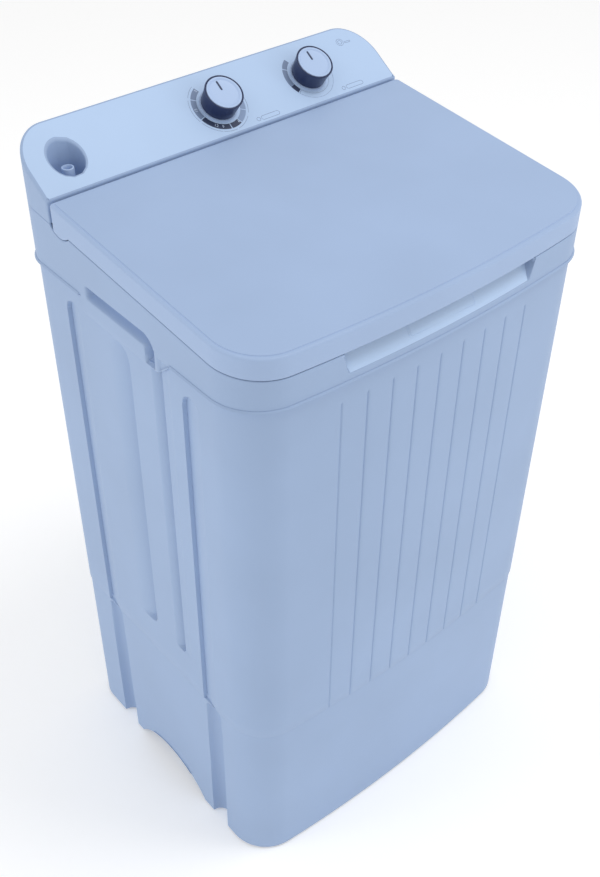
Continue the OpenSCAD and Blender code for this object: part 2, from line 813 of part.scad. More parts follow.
// ---- Drive ----
module pulsator() color("lightskyblue") translate([0, axis_y, dish_z + 3]) difference() {
    union() {
        rotate_extrude($fn = 96) polygon([
            [0, 0], [pulsator_r, 0], [pulsator_r, 9], [pulsator_r - 4, 11], [pulsator_r - 20, 7],
            [34, 11], [24, 24], [0, 26]
        ]);
        for (a = [0:90:270]) rotate(a) intersection() {
            span([15, -9, 4], [pulsator_r - 8, 9, 30]);
            translate([(pulsator_r + 10) / 2, 0, -16]) rotate([0, 90, 0])
                cylinder(r = 36, h = pulsator_r, center = true);
        }
    }
    rod([0, 0, -1], drive_r + 0.02, 20);
    rod([0, 0, -1], 3, 60);
    rod([0, 0, 22], 7, 10);
}

module pulsator_screw() color("silver") translate([0, axis_y, dish_z + 25]) {
    rod([0, 0, 0], 6.5, 3);
    rod([0, 0, -16], 2.9, 17);
}

module drive_shaft() color("silver") difference() {
    rod([0, axis_y, shaft_z0], drive_r, dish_z + 22 - shaft_z0);
    rod([0, axis_y, dish_z + 8], 2.9, 20);
}

module bearings() color("silver") for (z = [housing_z + 2, housing_top - 18]) difference() {
    rod([0, axis_y, z], bearing_r, 11);
    rod([0, axis_y, z - 1], drive_r + running, 13);
}

module shaft_seal() color("black") difference() {
    rod([0, axis_y, housing_top - 6], bearing_r, 7);
    rod([0, axis_y, housing_top - 7], drive_r + running, 9);
}

module bearing_housing() color("slategray") difference() {
    union() {
        rod([0, axis_y, housing_z], bearing_r + 8, housing_top - housing_z);
        rod([0, axis_y, housing_top - 8], 58, 8);
        rod([0, axis_y, housing_top - 1], bearing_r + 4, 4.5);
    }
    rod([0, axis_y, housing_z - 1], bearing_r, 100);
    housing_screw_places() translate([0, 0, -20]) cylinder(r = screw_r + 0.1, h = 30);
}

module housing_screw_places() {
    for (a = [45:90:315]) translate([50 * cos(a), axis_y + 50 * sin(a), housing_top]) children();
}
module housing_screws() color("silver") housing_screw_places()
    translate([0, 0, -8]) mirror([0, 0, 1]) screw(10);

// A grooved pulley about its own axis; rim is the belt's inner radius
module pulley(rim, hub_r, bore) {
    half = belt_w / 2 + 3.5;
    lip = rim + belt_t - 1;
    rotate_extrude($fn = 96) polygon([
        [bore, -half - 2], [hub_r, -half - 2], [hub_r, -3], [rim - 8, -3], [rim - 8, -half], [lip, -half],
        [lip, -half + 1.5], [rim - 0.5, -belt_w / 2 - 0.6], [rim - 0.5, belt_w / 2 + 0.6],
        [lip, half - 1.5], [lip, half], [rim - 8, half], [rim - 8, 3], [hub_r, 3],
        [hub_r, half + 1], [bore, half + 1]
    ]);
}

module large_pulley() color("lightgray") translate([0, axis_y, belt_z]) difference() {
    pulley(large_pulley_r, large_hub_r, drive_r);
    for (a = [0:60:300]) rotate(a) rod([(large_pulley_r + 9) / 2, 0, -10], 15, 20);
}

module motor_pulley() color("lightgray") translate([belt_centres, axis_y, belt_z])
    pulley(small_pulley_r, small_hub_r, drive_r);

// The belt's outline round both pulleys, grown by t: two arcs, and straight runs between them
function belt_outline(t) = let (
    big = large_pulley_r + t,
    small = small_pulley_r + t,
    a = acos((big - small) / belt_centres)
) concat(
    [for (i = [0:48]) arc_point([0, 0], big, a + i * (360 - 2 * a) / 48)],
    [for (i = [0:16]) arc_point([belt_centres, 0], small, (i / 8 - 1) * a)]
);

module drive_belt() color("black") translate([0, axis_y, belt_z - belt_w / 2]) linear_extrude(belt_w)
    difference() {
        polygon(belt_outline(belt_t));
        polygon(belt_outline(0));
    }

// ---- Motor ----
module motor_housing() color("slategray")
translate([belt_centres, axis_y, motor_plate_z - motor_h]) difference() {
    union() {
        rod([0, 0, 0], motor_r - 4, motor_h);
        rod([0, 0, 18], motor_r, motor_h - 36);
        for (a = [0:30:330]) rotate(a) span([motor_r - 8, -1.5, 6], [motor_r - 1, 1.5, motor_h - 6]);
    }
    rod([0, 0, 12], rotor_r + air_gap, motor_h - 24);
    rod([0, 0, -1], drive_r + running, motor_h + 2);
}

module motor_rotor() color("silver") translate([belt_centres, axis_y, motor_plate_z - motor_h]) {
    rod([0, 0, 16], rotor_r, motor_h - 32);
    rod([0, 0, -6], drive_r, belt_z + 12 - (motor_plate_z - motor_h));
}

module motor_plate() color("gray") difference() {
    translate([belt_centres, axis_y, motor_plate_z]) linear_extrude(plate_t)
        rounded(-post_dx - 12, -post_dy - 12, post_dx + 12, post_dy + 12, 10);
    rod([belt_centres, axis_y, 0], 22, height / 2);
    motor_posts(bolt_r + 0.2, 0, height / 2);
}

module motor_bushes() color("black") difference() {
    motor_posts(post_r, motor_plate_z - bush_t, motor_plate_z);
    motor_posts(bolt_r, 0, height / 2);
}

module motor_bolts() color("silver") {
    motor_posts(bolt_r, motor_plate_z - 30, motor_plate_z + plate_t + 1);
    motor_posts(6, motor_plate_z + plate_t, motor_plate_z + plate_t + 4);
}

module capacitor() color("white") rod([cap_x, cap_y, base_floor_z + wall], cap_r, 70);

module capacitor_clamp() color("silver") difference() {
    union() {
        rod([cap_x, cap_y, base_floor_z + wall + 20], cap_r + 1.2, 14);
        span([cap_x - 8, cap_y - cap_r - 14, base_floor_z + wall],
             [cap_x + 8, cap_y - cap_r, base_floor_z + wall + 1.5]);
        span([cap_x - 8, cap_y - cap_r - 1.5, base_floor_z + wall],
             [cap_x + 8, cap_y - cap_r, base_floor_z + wall + 30]);
    }
    rod([cap_x, cap_y, 0], cap_r, height / 2);
}

// ---- Drain ----
module valve_body() color("white") difference() {
    union() {
        rod([valve_x, valve_y, valve_z], valve_r, valve_h);
        rod([valve_x, valve_y, valve_z - 24], drain_r, 25);
        rod([valve_x, tub_y1 - tub_wall, port_z], drain_r, valve_y - tub_y1 + tub_wall, [-90, 0, 0]);
        difference() {
            rod([valve_x, tub_y1, port_z], drain_r + 5, 3, [-90, 0, 0]);
            rod([valve_x, valve_y, valve_z], valve_r - 1, valve_h);
        }
    }
    rod([valve_x, valve_y, valve_z + 4], valve_r - 3, valve_h);
    rod([valve_x, valve_y, 0], drain_bore_r, valve_z + 20);
    rod([valve_x, tub_y1 - 10, port_z], drain_bore_r, valve_y - tub_y1 + 10, [-90, 0, 0]);
}

module valve_cap() color("white") difference() {
    rod([valve_x, valve_y, valve_z + valve_h], valve_r, 4);
    rod([valve_x, valve_y, 0], rod_r + running, height);
}

module valve_plunger() color("dimgray") difference() {
    union() {
        rod([valve_x, valve_y, valve_z + 4.3], valve_r - 7, 6);
        rod([valve_x, valve_y, valve_z + 10], 9, 4);
    }
    rod([valve_x, valve_y, 0], rod_r, height);
}

module valve_rod() color("silver") {
    top = lever_tip_z - 9;
    rod([valve_x, valve_y, valve_z + 4.3], rod_r, top - valve_z - 4.3);
    span([valve_x - 5, valve_y - 3, top - 16], [valve_x + 5, valve_y + 3, top]);
}

// The spring that shuts the valve
module valve_spring() color("silver") {
    turns = 5;
    z0 = valve_z + 15;
    z1 = valve_z + valve_h - 1;
    sweep([for (i = [0:turns * 14]) [
        valve_x + 11 * cos(i * 360 / 14), valve_y + 11 * sin(i * 360 / 14), z0 + (z1 - z0) * i / (turns * 14)
    ]], 0.8, sides = 6);
}

module drain_hose() color("dimgray") sweep(curve([
    [valve_x, valve_y, valve_z - 24 - hose_gap], [valve_x, valve_y, valve_z - 24 - 3 * straight],
    [valve_x, valve_y, valve_z - 60],
    [valve_x, back_y - recess_depth - 40, spigot_z + 80], [valve_x, back_y - recess_depth - 52, spigot_z + 40],
    [valve_x, back_y - recess_depth - 36, spigot_z],
    [valve_x, back_y - recess_depth - 8 - 3 * straight, spigot_z],
    [valve_x, back_y - recess_depth - 8 - hose_gap, spigot_z]
]), drain_r, sides = 12);

module drain_spigot() color("dimgray") difference() {
    union() {
        rod([valve_x, back_y - recess_depth - 8, spigot_z], drain_r, recess_depth + 2, [-90, 0, 0]);
        rod([valve_x, back_y - recess_depth, spigot_z], drain_r + 4, 3, [-90, 0, 0]);
    }
    rod([valve_x, back_y - recess_depth - 20, spigot_z], drain_bore_r, 80, [-90, 0, 0]);
}

// ---- Back ----
module cover_screw_places() {
    z = [cover_z0 - 4, cover_z1 + 4];
    dx = cover_w / 2 - cover_screw_in;
    for (x = [-dx, 0, dx], k = [0, 1]) translate([x, back_y - cabinet_inset - rebate_d, z[k]])
        rotate([-90, 0, 0]) children();
}

module rear_cover() color("lightsteelblue") {
    y = back_y - cabinet_inset - rebate_d;
    difference() {
        span([-cover_w / 2 - 7.5, y, cover_z0 - 7.5], [cover_w / 2 + 7.5, y + cover_t, cover_z1 + 7.5]);
        for (i = [0:slot_count - 1]) translate([0, 0, cover_z0 + slot_z + i * slot_pitch])
            span([-slot_half, 0, 0], [slot_half, depth, slot_h]);
        cover_screw_places() translate([0, 0, -10]) cylinder(r = screw_r + 0.1, h = 20);
        rod([gland_x, 0, gland_z], gland_bore_r + 4, depth, [-90, 0, 0]);
    }
}
module cover_screws() color("silver") cover_screw_places() translate([0, 0, cover_t])
    screw(cover_t + 4);

// The rubber bush that the supply cord would come in through
module cord_gland() color("black") {
    y = back_y - cabinet_inset - rebate_d;
    difference() {
        union() {
            rod([gland_x, y - 8, gland_z], gland_bore_r + 4, 12, [-90, 0, 0]);
            rod([gland_x, y + cover_t, gland_z], gland_bore_r + 6.5, 2, [-90, 0, 0]);
            rod([gland_x, y - 2, gland_z], gland_bore_r + 6.5, 2, [-90, 0, 0]);
        }
        rod([gland_x, 0, gland_z], gland_bore_r, depth, [-90, 0, 0]);
    }
}

module wiring_harness() color("white") sweep(curve([
    [16, dial_y + 8, dial_z - 46], [18, dial_y + 14, seam_z - 20], [22, back_y - 26, seam_z - 90],
    [22, back_y - 26, 420], [30, back_y - 28, 300], [60, back_y - 60, 190],
    [belt_centres - 10, axis_y + motor_r + 40, 150], [belt_centres, axis_y + motor_r + 0.3, 145]
]), 4, sides = 8);

lid();
hinge_pins();
console();
timer_knob();
timer_cap();
timer_shaft();
timer_body();
selector_knob();
selector_cap();
selector_shaft();
selector_body();
console_screws();
inlet_nozzle();
inlet_hose();
inlet_spout();
top_frame();
blank_plate();
cabinet();
base();
base_screws();
rubber_feet();
tub();
overflow_cover();
pulsator();
pulsator_screw();
drive_shaft();
bearings();
shaft_seal();
bearing_housing();
housing_screws();
large_pulley();
drive_belt();
motor_housing();
motor_rotor();
motor_pulley();
motor_plate();
motor_bushes();
motor_bolts();
capacitor();
capacitor_clamp();
valve_body();
valve_cap();
valve_plunger();
valve_rod();
valve_spring();
drain_hose();
drain_spigot();
rear_cover();
cover_screws();
cord_gland();
wiring_harness();
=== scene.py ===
import json
import math

import bmesh
import bpy
import numpy as np
from mathutils import Matrix, Vector


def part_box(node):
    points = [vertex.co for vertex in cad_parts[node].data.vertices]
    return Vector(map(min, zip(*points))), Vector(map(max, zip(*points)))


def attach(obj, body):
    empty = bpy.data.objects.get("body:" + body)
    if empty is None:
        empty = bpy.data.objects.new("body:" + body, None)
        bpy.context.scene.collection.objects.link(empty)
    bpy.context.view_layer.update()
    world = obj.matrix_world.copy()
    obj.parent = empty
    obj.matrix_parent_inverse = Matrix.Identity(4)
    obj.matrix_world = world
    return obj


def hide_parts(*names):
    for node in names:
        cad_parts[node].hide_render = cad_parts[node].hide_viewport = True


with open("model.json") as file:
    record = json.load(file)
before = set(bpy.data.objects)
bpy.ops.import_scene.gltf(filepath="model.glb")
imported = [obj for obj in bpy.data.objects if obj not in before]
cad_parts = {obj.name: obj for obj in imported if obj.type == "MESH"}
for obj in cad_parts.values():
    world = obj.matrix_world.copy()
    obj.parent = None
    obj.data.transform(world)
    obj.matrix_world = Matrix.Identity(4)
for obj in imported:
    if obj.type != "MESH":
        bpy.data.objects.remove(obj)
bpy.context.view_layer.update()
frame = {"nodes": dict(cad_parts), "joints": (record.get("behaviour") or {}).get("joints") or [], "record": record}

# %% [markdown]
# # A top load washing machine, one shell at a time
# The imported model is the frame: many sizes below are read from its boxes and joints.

MM = 0.001
nodes = frame["nodes"]
joints = {j["name"]: j for j in frame["joints"]}


def box_mm(node):
    low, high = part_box(node)
    return np.array(low) / MM, np.array(high) / MM


# %% [markdown]
# The camera stands to the left of the machine's front, a little above it and looking down.
# A moulder's catalogue picture has flat, even light, so the colours are shown as they are.

# %% Camera and light
scene = bpy.context.scene
scene.view_settings.view_transform = "Standard"

camera = bpy.data.objects.new("camera", bpy.data.cameras.new("camera"))
scene.collection.objects.link(camera)
scene.camera = camera
camera.data.sensor_width = 36
camera.data.lens = 47.15
camera.data.clip_start = 0.05
camera_at = Vector((-0.7373, -0.8433, 1.4683))
look = Vector((0.4929, 0.5749, -0.6532)).normalized()
level = look.cross(Vector((0, 0, 1))).normalized()
lift = level.cross(look)
roll = math.radians(0.71)
side = level * math.cos(roll) + lift * math.sin(roll)
upright = side.cross(look)
camera.matrix_world = Matrix((
    (side.x, upright.x, -look.x, camera_at.x),
    (side.y, upright.y, -look.y, camera_at.y),
    (side.z, upright.z, -look.z, camera_at.z),
    (0, 0, 0, 1)))

world = bpy.data.worlds.new("studio")
scene.world = world
world.use_nodes = True
world.node_tree.nodes["Background"].inputs["Color"].default_value = (1, 1, 1, 1)
world.node_tree.nodes["Background"].inputs["Strength"].default_value = 0.7


def area_light(name, place, target, size, power):
    lamp = bpy.data.objects.new(name, bpy.data.lights.new(name, "AREA"))
    lamp.data.shape = "DISK"
    lamp.data.size = size
    lamp.data.energy = power
    lamp.location = place
    lamp.rotation_mode = "QUATERNION"
    lamp.rotation_quaternion = (Vector(target) - Vector(place)).to_track_quat("-Z", "Y")
    scene.collection.objects.link(lamp)
    return lamp


area_light("light_left", (-2.9, 1.2, 1.7), (0, 0, 0.5), 1.4, 15)
area_light("light_top", (0.9, -0.9, 3.6), (0, 0, 0.8), 1.2, 26)
area_light("light_right", (2.4, -2.6, 1.2), (0, 0, 0.5), 1.4, 9)
print("camera", [round(c, 4) for c in camera.location], "lens", camera.data.lens)

# %% [markdown]
# Each finish is a small recipe of nodes in the machine's own coordinates.
# Moulded plastic is satin, with a fine orange peel and faint cloudy shade.

# %% Finishes
materials = {}


def srgb(r, g, b):
    def lin(c):
        c /= 255
        return c / 12.92 if c < 0.04045 else ((c + 0.055) / 1.055) ** 2.4
    return (lin(r), lin(g), lin(b), 1)


def finish_of(name, colour, rough, grain=900, bump=0.06, cloud=0.03, metal=0.0, spot=6.0, spec=0.5,
              stretch=(1, 1, 1)):
    """A recipe: colour varies with a soft cloud, roughness and bump with a fine grain."""
    mat = bpy.data.materials.new(name)
    mat.use_nodes = True
    tree = mat.node_tree
    shader = tree.nodes["Principled BSDF"]
    place = tree.nodes.new("ShaderNodeTexCoord")
    scale = tree.nodes.new("ShaderNodeMapping")
    scale.inputs["Scale"].default_value = stretch
    tree.links.new(place.outputs["Object"], scale.inputs["Vector"])
    soft = tree.nodes.new("ShaderNodeTexNoise")
    soft.inputs["Scale"].default_value = spot
    soft.inputs["Detail"].default_value = 3
    fine = tree.nodes.new("ShaderNodeTexNoise")
    fine.inputs["Scale"].default_value = grain
    fine.inputs["Detail"].default_value = 2
    for tex in (soft, fine):
        tree.links.new(scale.outputs["Vector"], tex.inputs["Vector"])
    ramp = tree.nodes.new("ShaderNodeValToRGB")
    ramp.color_ramp.elements[0].position = 0.3
    ramp.color_ramp.elements[1].position = 0.7
    ramp.color_ramp.elements[0].color = tuple(c * (1 - cloud) for c in colour[:3]) + (1,)
    ramp.color_ramp.elements[1].color = tuple(min(1, c * (1 + cloud)) for c in colour[:3]) + (1,)
    tree.links.new(soft.outputs["Fac"], ramp.inputs["Fac"])
    tree.links.new(ramp.outputs["Color"], shader.inputs["Base Color"])
    level_of = tree.nodes.new("ShaderNodeMapRange")
    level_of.inputs["To Min"].default_value = max(0.03, rough - 0.06)
    level_of.inputs["To Max"].default_value = min(1, rough + 0.06)
    tree.links.new(fine.outputs["Fac"], level_of.inputs["Value"])
    tree.links.new(level_of.outputs["Result"], shader.inputs["Roughness"])
    dent = tree.nodes.new("ShaderNodeBump")
    dent.inputs["Strength"].default_value = bump
    dent.inputs["Distance"].default_value = 0.0004
    tree.links.new(fine.outputs["Fac"], dent.inputs["Height"])
    tree.links.new(dent.outputs["Normal"], shader.inputs["Normal"])
    shader.inputs["Metallic"].default_value = metal
    shader.inputs["Specular IOR Level"].default_value = spec
    materials[name] = mat
    return mat


finish_of("lid_plastic", srgb(165, 187, 221), 0.5, spec=0.35)
# console_plastic is lighter than the shell plastic: painted light and sheen, used on the sloping fascia and in the
# finger recess.
finish_of("console_plastic", srgb(184, 208, 240), 0.45, spec=0.35)
finish_of("shell_plastic", srgb(158, 180, 213), 0.52, spec=0.35)
finish_of("knob_dark", srgb(42, 53, 88), 0.3, cloud=0.06, spec=0.4)
finish_of("knob_light", srgb(178, 200, 234), 0.4, spec=0.4)
finish_of("tub_plastic", srgb(206, 214, 226), 0.4)
finish_of("pulsator_plastic", srgb(150, 176, 214), 0.35)
finish_of("white_plastic", srgb(222, 226, 230), 0.5)
finish_of("dark_rubber", srgb(38, 40, 44), 0.8, grain=500, bump=0.2, cloud=0.12)
finish_of("hose_rubber", srgb(88, 92, 98), 0.7, grain=600, bump=0.15, cloud=0.08)
finish_of("steel", srgb(178, 182, 188), 0.3, grain=400, bump=0.04, metal=0.9, cloud=0.05, stretch=(1, 1, 6))
finish_of("cast", srgb(122, 128, 134), 0.55, grain=350, bump=0.25, metal=0.6, cloud=0.1)
finish_of("motor_paint", srgb(72, 84, 96), 0.45, grain=500, bump=0.12, cloud=0.08)
finish_of("wire_sleeve", srgb(206, 200, 186), 0.6, grain=500, bump=0.2, cloud=0.08)
finish_of("print_dark", srgb(46, 58, 88), 0.5, cloud=0.08, bump=0.02)
finish_of("print_mid", srgb(116, 135, 168), 0.5, cloud=0.06, bump=0.02)
finish_of("print_soft", srgb(136, 158, 194), 0.5, cloud=0.06, bump=0.02)
finish_of("print_light", srgb(196, 214, 240), 0.5, cloud=0.04, bump=0.02)

slots = {s["slot"]: s.get("nodes", []) for s in frame["record"]["materials"]}
for name, members in slots.items():
    for node in members:
        nodes[node].data.materials.clear()
        nodes[node].data.materials.append(materials[name])
print("finishes", len(materials), "for", sum(len(m) for m in slots.values()), "nodes")

# %% [markdown]
# One helper turns rings of points into a skin, and another gives the skin its wall,
# as a mould does. Every piece is named, rides on a body and stands for its CAD nodes.

# %% Making skins
def ring_faces(count, rows, closed=True):
    last = count if closed else count - 1
    return [(i * count + k, i * count + (k + 1) % count,
             (i + 1) * count + (k + 1) % count, (i + 1) * count + k)
            for i in range(rows - 1) for k in range(last)]


def skin(name, rings, cap_end=False, cap_start=False):
    """A mesh through rings of points in mm, each ring with the same number of points."""
    count = len(rings[0])
    faces = ring_faces(count, len(rings))
    if cap_end:
        faces.append(tuple(range((len(rings) - 1) * count, len(rings) * count)))
    if cap_start:
        faces.append(tuple(reversed(range(count))))
    mesh = bpy.data.meshes.new(name)
    mesh.from_pydata((np.concatenate(rings) * MM).tolist(), [], faces)
    mesh.validate()
    obj = bpy.data.objects.new(name, mesh)
    scene.collection.objects.link(obj)
    return obj


def settle(obj):
    """Applies every modifier on the piece."""
    bpy.context.view_layer.update()
    done = bpy.data.meshes.new_from_object(obj.evaluated_get(bpy.context.evaluated_depsgraph_get()))
    obj.modifiers.clear()
    obj.data = done
    return obj


def outward(obj):
    """Welds a closed piece and points its faces outwards."""
    work = bmesh.new()
    work.from_mesh(obj.data)
    bmesh.ops.remove_doubles(work, verts=work.verts, dist=1e-6)
    bmesh.ops.recalc_face_normals(work, faces=work.faces)
    work.to_mesh(obj.data)
    work.free()
    return obj


def wall_of(obj, thickness):
    shell = obj.modifiers.new("wall", "SOLIDIFY")
    shell.thickness = thickness * MM
    shell.offset = -1
    return settle(obj)


def piece(obj, finish, body="machine", stands_for=(), crease=32):
    """Shades, paints and names the piece's place in the machine."""
    obj.data.polygons.foreach_set("use_smooth", [True] * len(obj.data.polygons))
    obj.data.set_sharp_from_angle(angle=math.radians(crease))
    obj.data.materials.clear()
    obj.data.materials.append(materials[finish])
    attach(obj, body)
    if stands_for:
        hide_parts(*stands_for)
    return obj


print("helpers ready")

# %% [markdown]
# The machine's outline in plan is a bowed front, two large front corners, straight
# sides and two back corners. Each point keeps its outward direction, so that any
# shell can be drawn a little further in, and any dent can be pressed along it.

# %% The outline
low_console, high_console = box_mm("console")
high_lid = box_mm("lid")[1]
low_frame = box_mm("top_frame")[0]
low_cab, high_cab = box_mm("cabinet")
low_base, high_base = box_mm("base")
half_w = high_console[0]
back_y = high_console[1]
console_y = low_console[1]
top_z = high_console[2]
normal = -Vector(joints["timer_turn"]["axis"])
tilt = math.atan2(-normal.y, normal.z)
fascia_z = top_z - (back_y - console_y) * math.tan(tilt)
hinge = np.array(joints["lid_hinge"]["pos_m"]) / MM
slope = math.radians(4.9)
skirt = 26.3
seam_z = fascia_z - skirt
bow, front_r, back_r = 9.0, 60.0, 44.0
half_flat = half_w - front_r
bow_r = (half_flat ** 2 + bow ** 2) / (2 * bow)
bow_y = bow_r - back_y
corner_y = bow_y - math.sqrt((bow_r - front_r) ** 2 - half_flat ** 2)
bow_half = math.asin(half_flat / (bow_r - front_r))
band_z = low_frame[2]
seam_cab = low_cab[2]


def seam_at(y):
    return seam_z + (y - console_y) * math.tan(slope)


def fascia_at(y):
    return fascia_z + (y - console_y) * math.tan(tilt)


def spread(values, least=0.25):
    out = []
    for v in sorted(values):
        if not out or v - out[-1] >= least:
            out.append(float(v))
    return out


grooves = [i * 33.75 for i in range(-4, 5)]
back_flute, front_flute = (101, 125.6), (-118, -91.4)
wide_flute, narrow_flute = (44, 5.6), (-37.6, -55.4)
flute_marks = [*back_flute, *front_flute, *wide_flute, *narrow_flute]
front_edge = bow_r * math.sin(bow_half)
front_x = spread([g + d for g in grooves for d in (-1.8, -1.2, -0.6, 0, 0.6, 1.2, 1.8)]
                 + list(np.arange(-front_edge, front_edge + 1, 8.4))
                 + [s * v for s in (-1, 1) for v in np.arange(128, 140, 0.8)])
side_y = spread(list(np.arange(corner_y, back_y - back_r, 1.6))
                + [m + d for m in flute_marks for d in (-1.6, -1.1, -0.5, 0, 0.5, 1.1, 1.6)])
back_x = spread([-206, 206, -172.6, -172.2, 172.2, 172.6, 100, 100.4, 169.6, 170]
                + list(np.arange(-200, 201, 25)), 0.3)


def bow_points(xs):
    return [(x, bow_y - math.sqrt(bow_r ** 2 - x ** 2), x / bow_r, -math.sqrt(1 - (x / bow_r) ** 2))
            for x in xs]


def arc(cx, cy, r, a0, a1, steps):
    turn = [math.radians(a0 + (a1 - a0) * i / steps) for i in range(steps + 1)]
    return [(cx + r * math.cos(a), cy + r * math.sin(a), math.cos(a), math.sin(a)) for a in turn]


def rim_points(ys):
    """The outline, anticlockwise seen from above, as x, y and the outward direction."""
    tip = math.degrees(bow_half)
    inner = [x for x in front_x if abs(x) < front_edge - 2]
    pts = bow_points(inner)
    pts += arc(half_flat, corner_y, front_r, -90 + tip, 0, 22)
    pts += [(half_w, y, 1.0, 0.0) for y in ys if corner_y + 1 < y < back_y - back_r - 0.5]
    pts += arc(half_w - back_r, back_y - back_r, back_r, 0, 90, 18)
    pts += [(x, back_y, 0.0, 1.0) for x in reversed(back_x) if abs(x) < half_w - back_r - 1]
    pts += arc(back_r - half_w, back_y - back_r, back_r, 90, 180, 18)
    pts += [(-half_w, y, -1.0, 0.0) for y in reversed(ys) if corner_y + 1 < y < back_y - back_r - 0.5]
    pts += arc(-half_flat, corner_y, front_r, 180, 270 - tip, 22)
    return np.array(pts)


rim = rim_points(side_y)
on_side = np.abs(rim[:, 2]) > 0.999
on_front = rim[:, 3] < -0.9
on_back = rim[:, 3] > 0.999
print("outline points", len(rim), "slope", round(math.degrees(tilt), 1))


def at(inset, z, table=rim):
    """A ring of the outline, moved in by inset, at height z."""
    inset = np.broadcast_to(inset, len(table))
    z = np.broadcast_to(z, len(table))
    return np.stack([table[:, 0] - table[:, 2] * inset, table[:, 1] - table[:, 3] * inset, z], 1)


def ease(t):
    t = np.clip(t, 0, 1)
    return t * t * (3 - 2 * t)


# %% [markdown]
# The cabinet is one moulding. Its flutes stiffen the thin sides, and its fine grooves
# break up the front. Here the flutes are pressed into the outline, row by row.

# %% Cabinet
def flute(y, z, ends, depth, bend, z0, z1, soft=3.0):
    start, stop = ends
    t = (y - start) / (stop - start)
    width = abs(stop - start)
    fall = np.clip(1 - (t - 1) * width / 1.1, 0, 1)
    body = np.where(t <= 1, depth * np.clip(t, 0, 1) ** bend, depth * fall) * (t > 0)
    arch = np.sqrt(np.clip(1 - (2 * np.clip(t, 0, 1) - 1) ** 2, 0, 1))
    head = z1 - width / 2 * (1 - arch)
    foot = z0 + width / 4 * (1 - arch)
    return body * ease((head - z) / soft) * ease((z - foot) / soft)


slot_top, slot_low, slot_front, slot_back = band_z + 20, band_z + 2, -38.0, 76.0
flute_top, flute_foot, lip_y = 757, 318, -68.5
groove_deep, groove_half, groove_top = 1.3, 1.5, 760
pocket_front, pocket_back, pocket_z, pocket_deep = -52.5, 88, 766.5, 24
notch_half, notch_z, notch_deep = 141, 786, 18
cover_half, cover_low, cover_high, cover_deep = 172.4, 297.2, 722.8, 4


def cabinet_dent(z):
    x, y = rim[:, 0], rim[:, 1]
    d = flute(y, z, back_flute, 5, 1.0, 200, 760) + flute(y, z, front_flute, 5, 1.0, 200, 760)
    d = d + flute(y, z, wide_flute, 12, 2.0, flute_foot, flute_top)
    d = d + flute(y, z, narrow_flute, 12, 1.4, flute_foot, 800)
    d = d + 0.7 * ease((y - lip_y) / 1.2) * ease((-55.9 - y) / 0.5) * ease((z - flute_foot) / 6)
    d = np.where(on_side, d, 0)
    near = np.min([np.abs(x - g) for g in grooves], axis=0)
    cut = groove_deep * np.clip(1 - near / groove_half, 0, 1) * ease((groove_top - z) / 5)
    d = np.where(on_front, cut, d)
    pocket = on_side & (y > pocket_front) & (y < pocket_back) & (z > pocket_z)
    d = np.where(pocket, pocket_deep, d)
    d = np.where(on_front & (np.abs(x) < notch_half) & (z > notch_z), notch_deep, d)
    hole = on_back & (np.abs(x) < cover_half) & (cover_low < z < cover_high)
    return np.where(hole, cover_deep, d)


heights = spread([seam_cab, seam_cab + 1, 297, 297.4, 722.6, 723, 783, 785.8, 786.4, 792]
                 + list(np.arange(280, 720, 40)) + list(np.arange(314, 328, 1.5))
                 + list(np.arange(740, 766, 1.25)) + [766.2, 766.8], 0.3)
cab_in = half_w - high_cab[0]
rows = [at(cab_in + cabinet_dent(z), z) for z in heights]
rows[0] = at(cab_in + cabinet_dent(seam_cab) + 0.5, seam_cab)
cabinet = wall_of(skin("cabinet_shell", rows), 2.4)
piece(cabinet, "shell_plastic", stands_for=["cabinet"], crease=28)
print("cabinet faces", len(cabinet.data.polygons))

# %% [markdown]
# The base carries everything. Half-round notches continue the outer flutes down to the
# floor, and an arch under each side leaves room for the hands of whoever moves it.

# %% Base
arch_w, arch_h, arch_y = 155.0, 39.0, 5.4
rim_z = low_base[2]
base_in = half_w - high_base[0]
arch_r = (arch_w ** 2 / 4 + arch_h ** 2) / (2 * arch_h)
spigot_z = (box_mm("drain_spigot")[0][2] + box_mm("drain_spigot")[1][2]) / 2
outlet_x = joints["selector_turn"]["pos_m"][0] / MM
channel_r, channel_deep, channel_rise = 16.0, 15.5, 5.5
outlet_half, outlet_deep = 34.8, 41


def base_foot():
    y = rim[:, 1] - arch_y
    rise = rim_z + arch_h - arch_r + np.sqrt(np.clip(arch_r ** 2 - y ** 2, 0, None))
    return np.where(on_side & (np.abs(y) < arch_w / 2), np.maximum(rise, rim_z), rim_z)


def base_dent(z):
    x, y = rim[:, 0], rim[:, 1]
    z = np.broadcast_to(z, len(rim))
    d = np.zeros(len(rim))
    for centre in (114.5, -109.0):
        deep = channel_deep - channel_rise * np.clip(z / 250, 0, 1)
        off = np.clip(np.abs(y - centre) / channel_r, 0, 1)
        channel = np.clip(channel_r * np.sqrt(1 - off ** 2) - (channel_r - deep), 0, None)
        head = seam_cab - 1.5 - 11 * (1 - np.sqrt(1 - off ** 2))
        d = d + channel * ease((head - z) / 2.2)
    d = np.where(on_side, d, 0)
    hole = on_back & (np.abs(x - outlet_x) < outlet_half) & (np.abs(z - spigot_z) < outlet_half)
    return np.where(hole, outlet_deep, d)


